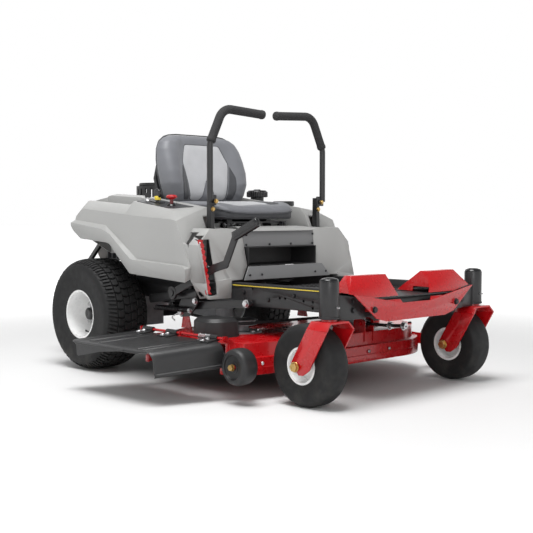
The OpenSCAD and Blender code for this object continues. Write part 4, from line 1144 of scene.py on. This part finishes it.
def fit_console():
    knob = rounded([(0, 698), (9, 698), (22, 705), (22.5, 711), (15, 716), (0, 717.5)], 2.5, 4)
    stem = [(0, 640), (7, 640), (7, 700), (0, 700)]
    parts = [lathe("cap", knob, RED_PLASTIC, at(-342, -388, 0), Z, 40),
             lathe("stem", stem, DARK_RED, at(-342, -388, 0), Z, 20)]
    fit("blade_clutch_knob_finished", parts, "clutch_knob", "knob_red", "blade_clutch_knob")
    ring = rounded([(8.5, 668), (19, 668), (19, 673), (13, 681), (8.5, 682)], 1.5, 3)
    boot = lathe("clutch_knob_collar", ring, GLOSS_BLACK, at(-342, -388, 0), Z, 32)
    mount(boot, "chassis", "console_black")
    disc = rounded([(0, -7), (17, -7), (20, -4), (20, 4), (17, 7), (0, 7)], 2.5, 3)
    arm = sheet_block("arm", (-345, -305, 646), (-339, -295, 712), GLOSS_BLACK, 1.5)
    knuckle = lathe("grip", disc, GLOSS_BLACK, at(-342, -300, 722), X, 36)
    collar = lathe("collar", rounded([(7, 696), (12.5, 696), (13, 712), (7, 713)], 1.5, 2), YELLOW,
                   at(-342, -300, 0), Z, 24)
    fit("throttle_finished", [arm, knuckle, collar], "throttle", "knob_black", "throttle_lever")
    slot = sheet_block("slot_frame", (-356, -332, 676), (-328, -268, 682), GLOSS_BLACK, 2)
    for vertex in slot.data.vertices:
        vertex.co.z += (vertex.co.y - at(0, -300, 0).y) * 0.12 + 8 * MM
    mount(slot, "chassis", "console_black")
    bow = rounded([(-13, 0), (13, 0), (13, 15), (8, 21), (-8, 21), (-13, 15)], 4, 3)
    head = loft("bow", [[at(-342 + u, -235 + d, 706 + w) for u, w in bow] for d in (-3, 3)], GLOSS_BLACK, 35)
    shaft = lathe("shaft", [(0, 650), (6.5, 650), (6.5, 707), (0, 707)], ZINC, at(-342, -235, 0), Z, 20)
    fit("ignition_key_finished", [head, shaft], "key", "knob_black", "ignition_key")
    nut = rounded([(7.5, 690), (15, 690), (15, 695), (12, 699), (7.5, 699)], 1, 2)
    lock = lathe("key_lock_nut", nut, ZINC, at(-342, -235, 0), Z, 30)
    mount(lock, "chassis", "drive_alloy")


def fit_fuel_cap():
    place = at(350, -150, 0)
    body = rounded([(0, 716), (46, 716), (46, 742), (40, 748), (0, 748)], 4, 4)
    cap = lathe("cap", body, GLOSS_BLACK, place, Z, 64)
    rib = lathe("rib", [(0, 718), (2.4, 718), (2.4, 739), (0, 742)], GLOSS_BLACK,
                Vector((46 * MM, 0, 0)), Z, 8)
    ribs = placed(repeated(rib, 36, turn=10), Matrix.Translation(place))
    boss = lathe("boss", rounded([(0, 747), (18, 747), (15, 752), (0, 753)], 1, 2), GLOSS_BLACK, place, Z, 32)
    neck = lathe("neck", [(0, 695), (25, 695), (25, 717), (0, 717)], BLACK_PLASTIC, place, Z, 32)
    fit("fuel_cap_finished", [cap, ribs, boss, neck], "cap", "knob_black", "fuel_cap")


def fit_cup_liner():
    wall = [(0, 591), (41.6, 591), (41.6, 676), (47, 676), (47, 694), (44, 697), (40, 696), (38.5, 690),
            (38, 598), (0, 598)]
    liner = lathe("cup_liner", rounded(wall, 1.2, 2), BLACK_PLASTIC, at(340, -330, 0), Z, 56)
    mount(liner, "chassis", "bin_black")


def fit_top_strip():
    """The light cover that bridges the two pods above the dash."""
    profile = [(-645, 574), (-637, 582), (-602, 590), (-552, 592), (-552, 588), (-601, 586), (-635, 578)]
    ends = [[at(x, y, z) for y, z in profile] for x in (-198, 198)]
    strip = loft("dash_top_strip", ends, COVER_GREY, 35)
    mount(strip, "chassis", "cover_grey")
    seam_lines = [sweep("joint", smooth_path([(x, -640, 578), (x, -602, 590), (x, -553, 592)], 6),
                        1.2, BLACK_PLASTIC, 8) for x in (-199, 199)]
    fit("dash_joint_lines", seam_lines, "chassis", "bin_black")


# ---- deck and chute


def fit_rollers(side):
    place = middle("roller_" + side)
    outline = [(10, -26), (41, -26), (41, -36), (48, -36), (57, -31), (62, -20), (63, 0), (62, 20), (57, 31),
               (48, 36), (41, 36), (41, 26), (10, 26)]
    wheel = lathe("roller_" + side + "_finished", rounded(outline, 5, 3), BLACK_PLASTIC, place, X, 64, 40)
    mount(wheel, "gauge_wheel_" + side, "tyre", "roller_" + side)
    hub = lathe("hub", rounded([(9, -28), (20, -28), (20, 28), (9, 28)], 2, 2), BLACK_PLASTIC, place, X, 32)
    mount(hub, "gauge_wheel_" + side, "tyre")
    s = SIDES[side]
    head = bolt("roller_bolt_" + side, at(s * 594, place_y(place), 129), s * X, 19, 12, YELLOW_ZINC, 12)
    mount(head, "deck", "bolt_black")


def place_y(place):
    return (place.y - ORIGIN.y) / MM


def fit_deck_hardware():
    heads = []
    for x, y in ((-440, -1004), (-300, -1026), (60, -1063), (180, -1063)):
        heads.append(dome_screw("head", at(x, y - 0.5, 126), -Y, 7, ZINC))
    for centre in ((-265, -700), (265, -778)):
        for k in range(6):
            a = math.radians(60 * k + 30)
            place = at(centre[0] + 70 * math.cos(a), centre[1] + 70 * math.sin(a), 201)
            heads.append(bolt("head", place, Z, 13, 6, ZINC, 9))
    for x, y in ((-505, -560), (-505, -840), (-440, -520), (440, -960), (120, -1000), (-120, -990)):
        heads.append(bolt("head", at(x, y, 195), Z, 13, 6, BLACK_OXIDE, 9))
    fit("deck_bolts", heads, "deck", "bolt_black")
    rod = sweep("hanger_rod", smooth_path([(86, -1010, 226), (86, -1120, 226), (86, -1216, 232)], 20), 6,
                BLACK_OXIDE, 14)
    nuts = [bolt("nut", at(86, y, z), -Y, 24, 12, ZINC, 17) for y, z in ((-1140, 227.2), (-1204, 231.2))]
    eyes = [lathe("eye", rounded([(0, x), (17, x), (17, x + 12), (0, x + 12)], 2, 2), ZINC, at(0, -1016, 226),
                  X, 32) for x in (66, 94)]
    fit("front_hanger_rod", [rod] + nuts + eyes, "deck", "bolt_black")


def front_of_chute(x):
    """Where the deflector's front wall stands at a distance out from the middle."""
    return stretch(-x, [(560, -937), (802, -852)])


def fit_chute():
    """The moulded deflector: a ribbed roof, a rolled front wall and a fin at its outer back corner."""
    top, roll, wall_foot, tip, thick = 205, 34, 116, -813, 4
    shape = bmesh.new()
    columns = []
    for x in (-562, -600, -640, -680, -720, -760, -790, -802, -808, tip):
        front = front_of_chute(x) + (0 if x >= -802 else (-802 - x) * 4)
        back = stretch(-x, [(562, -452), (790, -376), (802, -380), (-tip, -412)])
        sink = stretch(-x, [(790, 0), (802, 1.5), (808, 4), (-tip, 9)])
        rows = [(back + (front + roll - back) * k / 12, top - sink) for k in range(13)]
        if x >= -802:
            turns = [math.radians(a) for a in range(12, 91, 13)]
            rows += [(front + roll - roll * math.sin(a), top - roll + roll * math.cos(a) - sink)
                     for a in turns]
            rows += [(front, 160), (front, wall_foot + 14), (front - 3.5, wall_foot + 11),
                     (front - 3.5, wall_foot + 3), (front, wall_foot)]
        columns.append([shape.verts.new(at(x, y, z)) for y, z in rows])
    for a, b in zip(columns, columns[1:]):
        for k in range(min(len(a), len(b)) - 1):
            shape.faces.new((a[k], a[k + 1], b[k + 1], b[k]))
    panel = from_bmesh("panel", shape, CHUTE_PLASTIC, 40)
    wall = panel.modifiers.new("wall", "SOLIDIFY")
    wall.thickness, wall.offset = thick * MM, -1
    edge = panel.modifiers.new("edge", "BEVEL")
    edge.width, edge.segments, edge.limit_method = 1.2 * MM, 2, "ANGLE"
    edge.angle_limit = math.radians(50)
    settle(panel)
    shade(panel.data, 40)
    ribs = []
    for near, far, shift in ((-580, -796, 62), (-580, -790, 100), (-600, -786, 330), (-600, -780, 400)):
        points = [at(x, front_of_chute(x) + shift, top - 2) for x in (near, (near + far) / 2, far)]
        ribs.append(sweep("rib", points, 5.5, CHUTE_PLASTIC, 14, 3))
    outline = [(-700, 201), (-700, 196), (-560, 180), (-424, 152), (-416, 156), (-416, 201)]
    sides = [[at(x, y, z) for y, z in outline] for x in (tip + 1, tip + 5)]
    parts = [panel, loft("fin", sides, CHUTE_PLASTIC, 35)] + ribs
    for y in (-900, -680, -540):
        parts.append(sheet_block("leaf", (-602, y, 202), (-552, y + 60, 211), CHUTE_PLASTIC, 1.5))
        tube = rounded([(5.6, 0), (10, 0), (10, 60), (5.6, 60)], 1.5, 2)
        parts.append(lathe("knuckle", tube, CHUTE_PLASTIC, at(-552, y, 214), Y, 28))
    hinge = Matrix.Translation(at(*CHUTE_HINGE))
    whole = placed(joined("discharge_chute_moulded", parts),
                   hinge @ Matrix.Rotation(-CHUTE_DROOP, 4, "Y") @ hinge.inverted())
    mount(whole, "chute", "chute_black", "discharge_chute")


def fit_belt_covers():
    """A drum of a cover over each belt end, with a flange, rounded corners and a chamfered lid."""
    covers = []
    for s in (-1, 1):
        rings = []
        corners = [(348, -802), (440, -802), (480, -765), (480, -680), (440, -638), (348, -638)]
        for z, inset in ((192, -4), (196, -4), (197, 0), (250, 2), (254, 6), (262, 15), (263, 22)):
            outline = dense(rounded(corners, 34, 6), 12)
            centre = Vector((412, -720))
            ring = [centre + (Vector(p) - centre) * (1 - inset / 80) for p in outline]
            rings.append([at(s * p.x, p.y, z) for p in ring])
        covers.append(loft("cover", rings, BLACK_PLASTIC, 30))
    fit("belt_covers_moulded", covers, "deck", slot_of_node("belt_covers"), "belt_covers")


def fit_chute_hardware():
    spring = sweep("coil", helix((-552, -862, 214), (-552, -800, 214), 9, 9), 1.5, ZINC, 8)
    leg = smooth_path([(-561, -862, 214), (-574, -872, 210), (-620, -874, 214)], 8)
    tail = sweep("tail", leg, 1.5, ZINC, 8)
    fit("chute_spring", [spring, tail], "deck", "bolt_black")
    heads = []
    for x in (-575, -598):
        for y in (-870, -650, -510):
            drop = (CHUTE_HINGE[0] - x) * math.sin(CHUTE_DROOP)
            heads.append(bolt("head", at(x, y, 211 - drop), Z, 13, 6, ZINC, 9))
    fit("chute_bolts", heads, "chute", "bolt_black")


def fit_height_crank():
    """The plate, pins, bar and spring of the height linkage, outside the right rail."""
    outline = rounded([(-548, 300), (-532, 350), (-470, 352), (-424, 268), (-440, 238), (-500, 246)], 12, 4)
    plate = loft("plate", [[at(x, y, z) for y, z in outline] for x in (-338, -344)], BLACK, 35)
    bar = sweep("bar", finer_path([at(-350, -548, 338), at(-350, -258, 300)], 20 * MM), 17, BLACK, 20, 3, 0.3)
    fit("height_crank_plate", [plate, bar], "chassis", "frame_black")
    metal_parts = [bolt("pin", at(-344, y, z), -X, across, 9, ZINC, across * 0.7)
                   for y, z, across in ((-446, 258, 22), (-500, 268, 16), (-532, 306, 19), (-468, 322, 16))]
    coil = helix((-356, -500, 272), (-356, -300, 268), 9, 22)
    metal_parts.append(sweep("spring", coil, 1.8, BLACK_OXIDE, 8))
    hook = smooth_path([(-352, -446, 258), (-356, -400, 236), (-354, -420, 224)], 12)
    metal_parts.append(sweep("clip", hook, 2.5, ZINC, 8))
    fit("height_crank_pins", metal_parts, "chassis", "bolt_black")


# ---- engine, battery and drive


def fit_engine():
    """What shows of the engine: screen, filter, dipstick, plug leads and the bolts of the shroud."""
    hub = rounded([(0, 776), (34, 776), (34, 781), (26, 784), (0, 785)], 2, 3)
    parts = [lathe("cap", hub, GLOSS_BLACK, at(10, 130, 0), Z, 48)]
    bar = lathe("bar", [(0, -30), (1.6, -30), (1.6, 30), (0, 30)], BLACK_PLASTIC,
                Vector((64 * MM, 0, 0)), X, 8)
    grille = placed(repeated(bar, 48, turn=7.5), Matrix.Translation(at(10, 130, 778)))
    rings = [lathe("ring", rounded([(r, 776), (r + 4, 776), (r + 4, 780), (r, 780)], 1, 2), BLACK_PLASTIC,
                   at(10, 130, 0), Z, 64) for r in (48, 66, 84)]
    fit("engine_intake_screen", parts + [grille] + rings, "chassis", "shroud_black")
    can = rounded([(0, 0), (34, 0), (38, 4), (38, 78), (30, 84), (0, 84)], 4, 4)
    oil = lathe("oil_filter", can, WHITE, at(-110, 60, 470), Vector((-0.4, -1, 0)), 48)
    mount(oil, "chassis", "engine_black")
    stick = sweep("dipstick_tube", smooth_path([(120, 60, 430), (160, 20, 520), (168, 10, 640)], 40),
                  6, BLACK, 12)
    knob = lathe("dipstick_knob", rounded([(0, 0), (14, 0), (14, 16), (0, 20)], 3, 3), YELLOW,
                 at(168, 10, 640), Vector((0.07, -0.1, 1)), 24)
    fit("dipstick", [stick, knob], "chassis", "engine_black")
    leads = [sweep("lead", smooth_path([(s * 60, 322, 640), (s * 100, 352, 600), (s * 120, 345, 530),
                                        (s * 120, 321, 505)], 30), 4, RUBBER, 12) for s in (-1, 1)]
    boots = [lathe("boot", rounded([(0, -4), (9, -4), (9, 20), (6, 26), (0, 26)], 2, 2), RUBBER,
                   at(s * 120, 321, 505), Y, 20) for s in (-1, 1)]
    fit("spark_plug_leads", leads + boots, "chassis", "belt_rubber")
    heads = [bolt("head", at(x, y, 690), Z, 13, 6, BLACK_OXIDE, 10)
             for x in (-130, 130) for y in (20, 150, 290)]
    heads += [bolt("head", at(s * 175, y, z), s * X, 13, 6, BLACK_OXIDE, 9)
              for s in (-1, 1) for y in (60, 160, 260) for z in (580, 668)]
    fit("shroud_bolts", heads, "chassis", "bolt_black")


def fit_muffler():
    can = rounded([(0, -121), (40, -121), (48, -112), (50, -108), (50, -104), (48, -100), (48, 100),
                   (50, 104), (50, 108), (48, 112), (40, 121), (0, 121)], 2.5, 3)
    body = lathe("can", can, MUFFLER_DARK, at(0, 400, 470), X, 56)
    pipes = [sweep("pipe", smooth_path([(s * 70, 321, 470), (s * 70, 350, 470), (s * 70, 399, 470)], 20), 15,
                   MUFFLER_DARK, 24) for s in (-1, 1)]
    tail = sweep("tail", smooth_path([(118, 400, 470), (150, 400, 470)], 5), 17, MUFFLER_DARK, 28)
    mouth = lathe("mouth", [(12, 140), (17, 140), (18, 152), (15, 152), (13, 144)], MUFFLER_DARK,
                  at(0, 400, 470), X, 32)
    fit("muffler_finished", [body] + pipes + [tail, mouth], "chassis", "muffler_steel", "muffler")


def fit_battery():
    case = sheet_block("case", (-95, -420, 361), (95, -300, 524), BLACK_PLASTIC, 4)
    lid = sheet_block("lid", (-97, -422, 518), (97, -298, 542), BLACK_PLASTIC, 4)
    stud = rounded([(0, 540), (9, 540), (8, 553), (0, 553)], 1, 2)
    posts = [lathe("post", stud, ZINC, at(x, -360, 0), Z, 24) for x in (-70, 70)]
    fit("battery_finished", [case, lid] + posts, "chassis", "battery_black", "battery")
    cables = [sweep("cable", smooth_path([(x, -360, 549), (x * 1.5, -330, 552), (x * 2.2, -250, 500),
                                          (x * 2.0, -80, 420), (x * 1.6, 60, 420)], 40), 5, finish, 12)
              for x, finish in ((-70, RUBBER), (70, RED_PLASTIC))]
    fit("battery_cables", cables, "chassis", "belt_rubber")


def fit_drive():
    """Cooling fan, hose and expansion bottle of each transaxle."""
    parts = []
    for s in (-1, 1):
        blade = sheet_block("blade", (-3, 8, 0), (3, 42, 3), BLACK_PLASTIC, 1)
        placed(blade, Matrix.Translation(-at(0, 0, 0)))
        placed(blade, Matrix.Rotation(math.radians(24), 4, "Y"))
        fan = placed(repeated(blade, 10, turn=36), Matrix.Translation(at(s * 190, 20, 322)))
        hub = lathe("hub", rounded([(0, 317), (14, 317), (14, 330), (0, 332)], 2, 2), BLACK_PLASTIC,
                    at(s * 190, 20, 0), Z, 28)
        hose = sweep("hose", smooth_path([(s * 200, -60, 296), (s * 205, -70, 360), (s * 225, -120, 470),
                                          (s * 250, -140, 540)], 50), 8, RUBBER, 16)
        bottle = rounded([(0, 520), (34, 520), (34, 590), (16, 604), (16, 618), (0, 618)], 6, 4)
        tank = lathe("bottle", bottle, GLOSS_BLACK, at(s * 240, -145, 0), Z, 36)
        parts += [fan, hub, hose, tank]
    fit("transaxle_fittings", parts, "chassis", "bin_black")


def fit_platform_mat():
    stud = lathe("stud", [(0, 0), (7, 0), (5, 2.2), (0, 2.6)], RUBBER, None, Z, 8)
    row = repeated(stud, 20, (25 * MM, 0, 0))
    grid = repeated(row, 8, (0, 60 * MM, 0))
    placed(grid, Matrix.Translation(at(-238, -1176 + 28, 358)))
    grid.name = "platform_mat_studs"
    mount(grid, "chassis", "bin_black")


def fit_seat_mount():
    springs = [sweep("spring", helix((s * 120, y, 579), (s * 120, y, 603), 17, 4), 2.6, BLACK_OXIDE, 8)
               for s in (-1, 1) for y in (-450, -200)]
    fit("seat_springs", springs, "chassis", "bolt_black")
    hinge_ends = [bolt("end", at(s * 169, -506, 597), s * X, 15, 6, ZINC, 10) for s in (-1, 1)]
    fit("seat_hinge_nuts", hinge_ends, "chassis", "bolt_black")


for side in SIDES:
    fit_caster_bolts(side)
    fit_rail_trim(side)
    fit_lever(side)
    fit_rollers(side)
fit_beam_bolts()
fit_height_lever()
fit_console()
fit_fuel_cap()
fit_cup_liner()
fit_top_strip()
fit_deck_hardware()
fit_chute()
fit_belt_covers()
fit_height_crank()
fit_chute_hardware()
fit_engine()
fit_muffler()
fit_battery()
fit_drive()
fit_platform_mat()
fit_seat_mount()


aim_camera()
light_studio()
lay_floor()
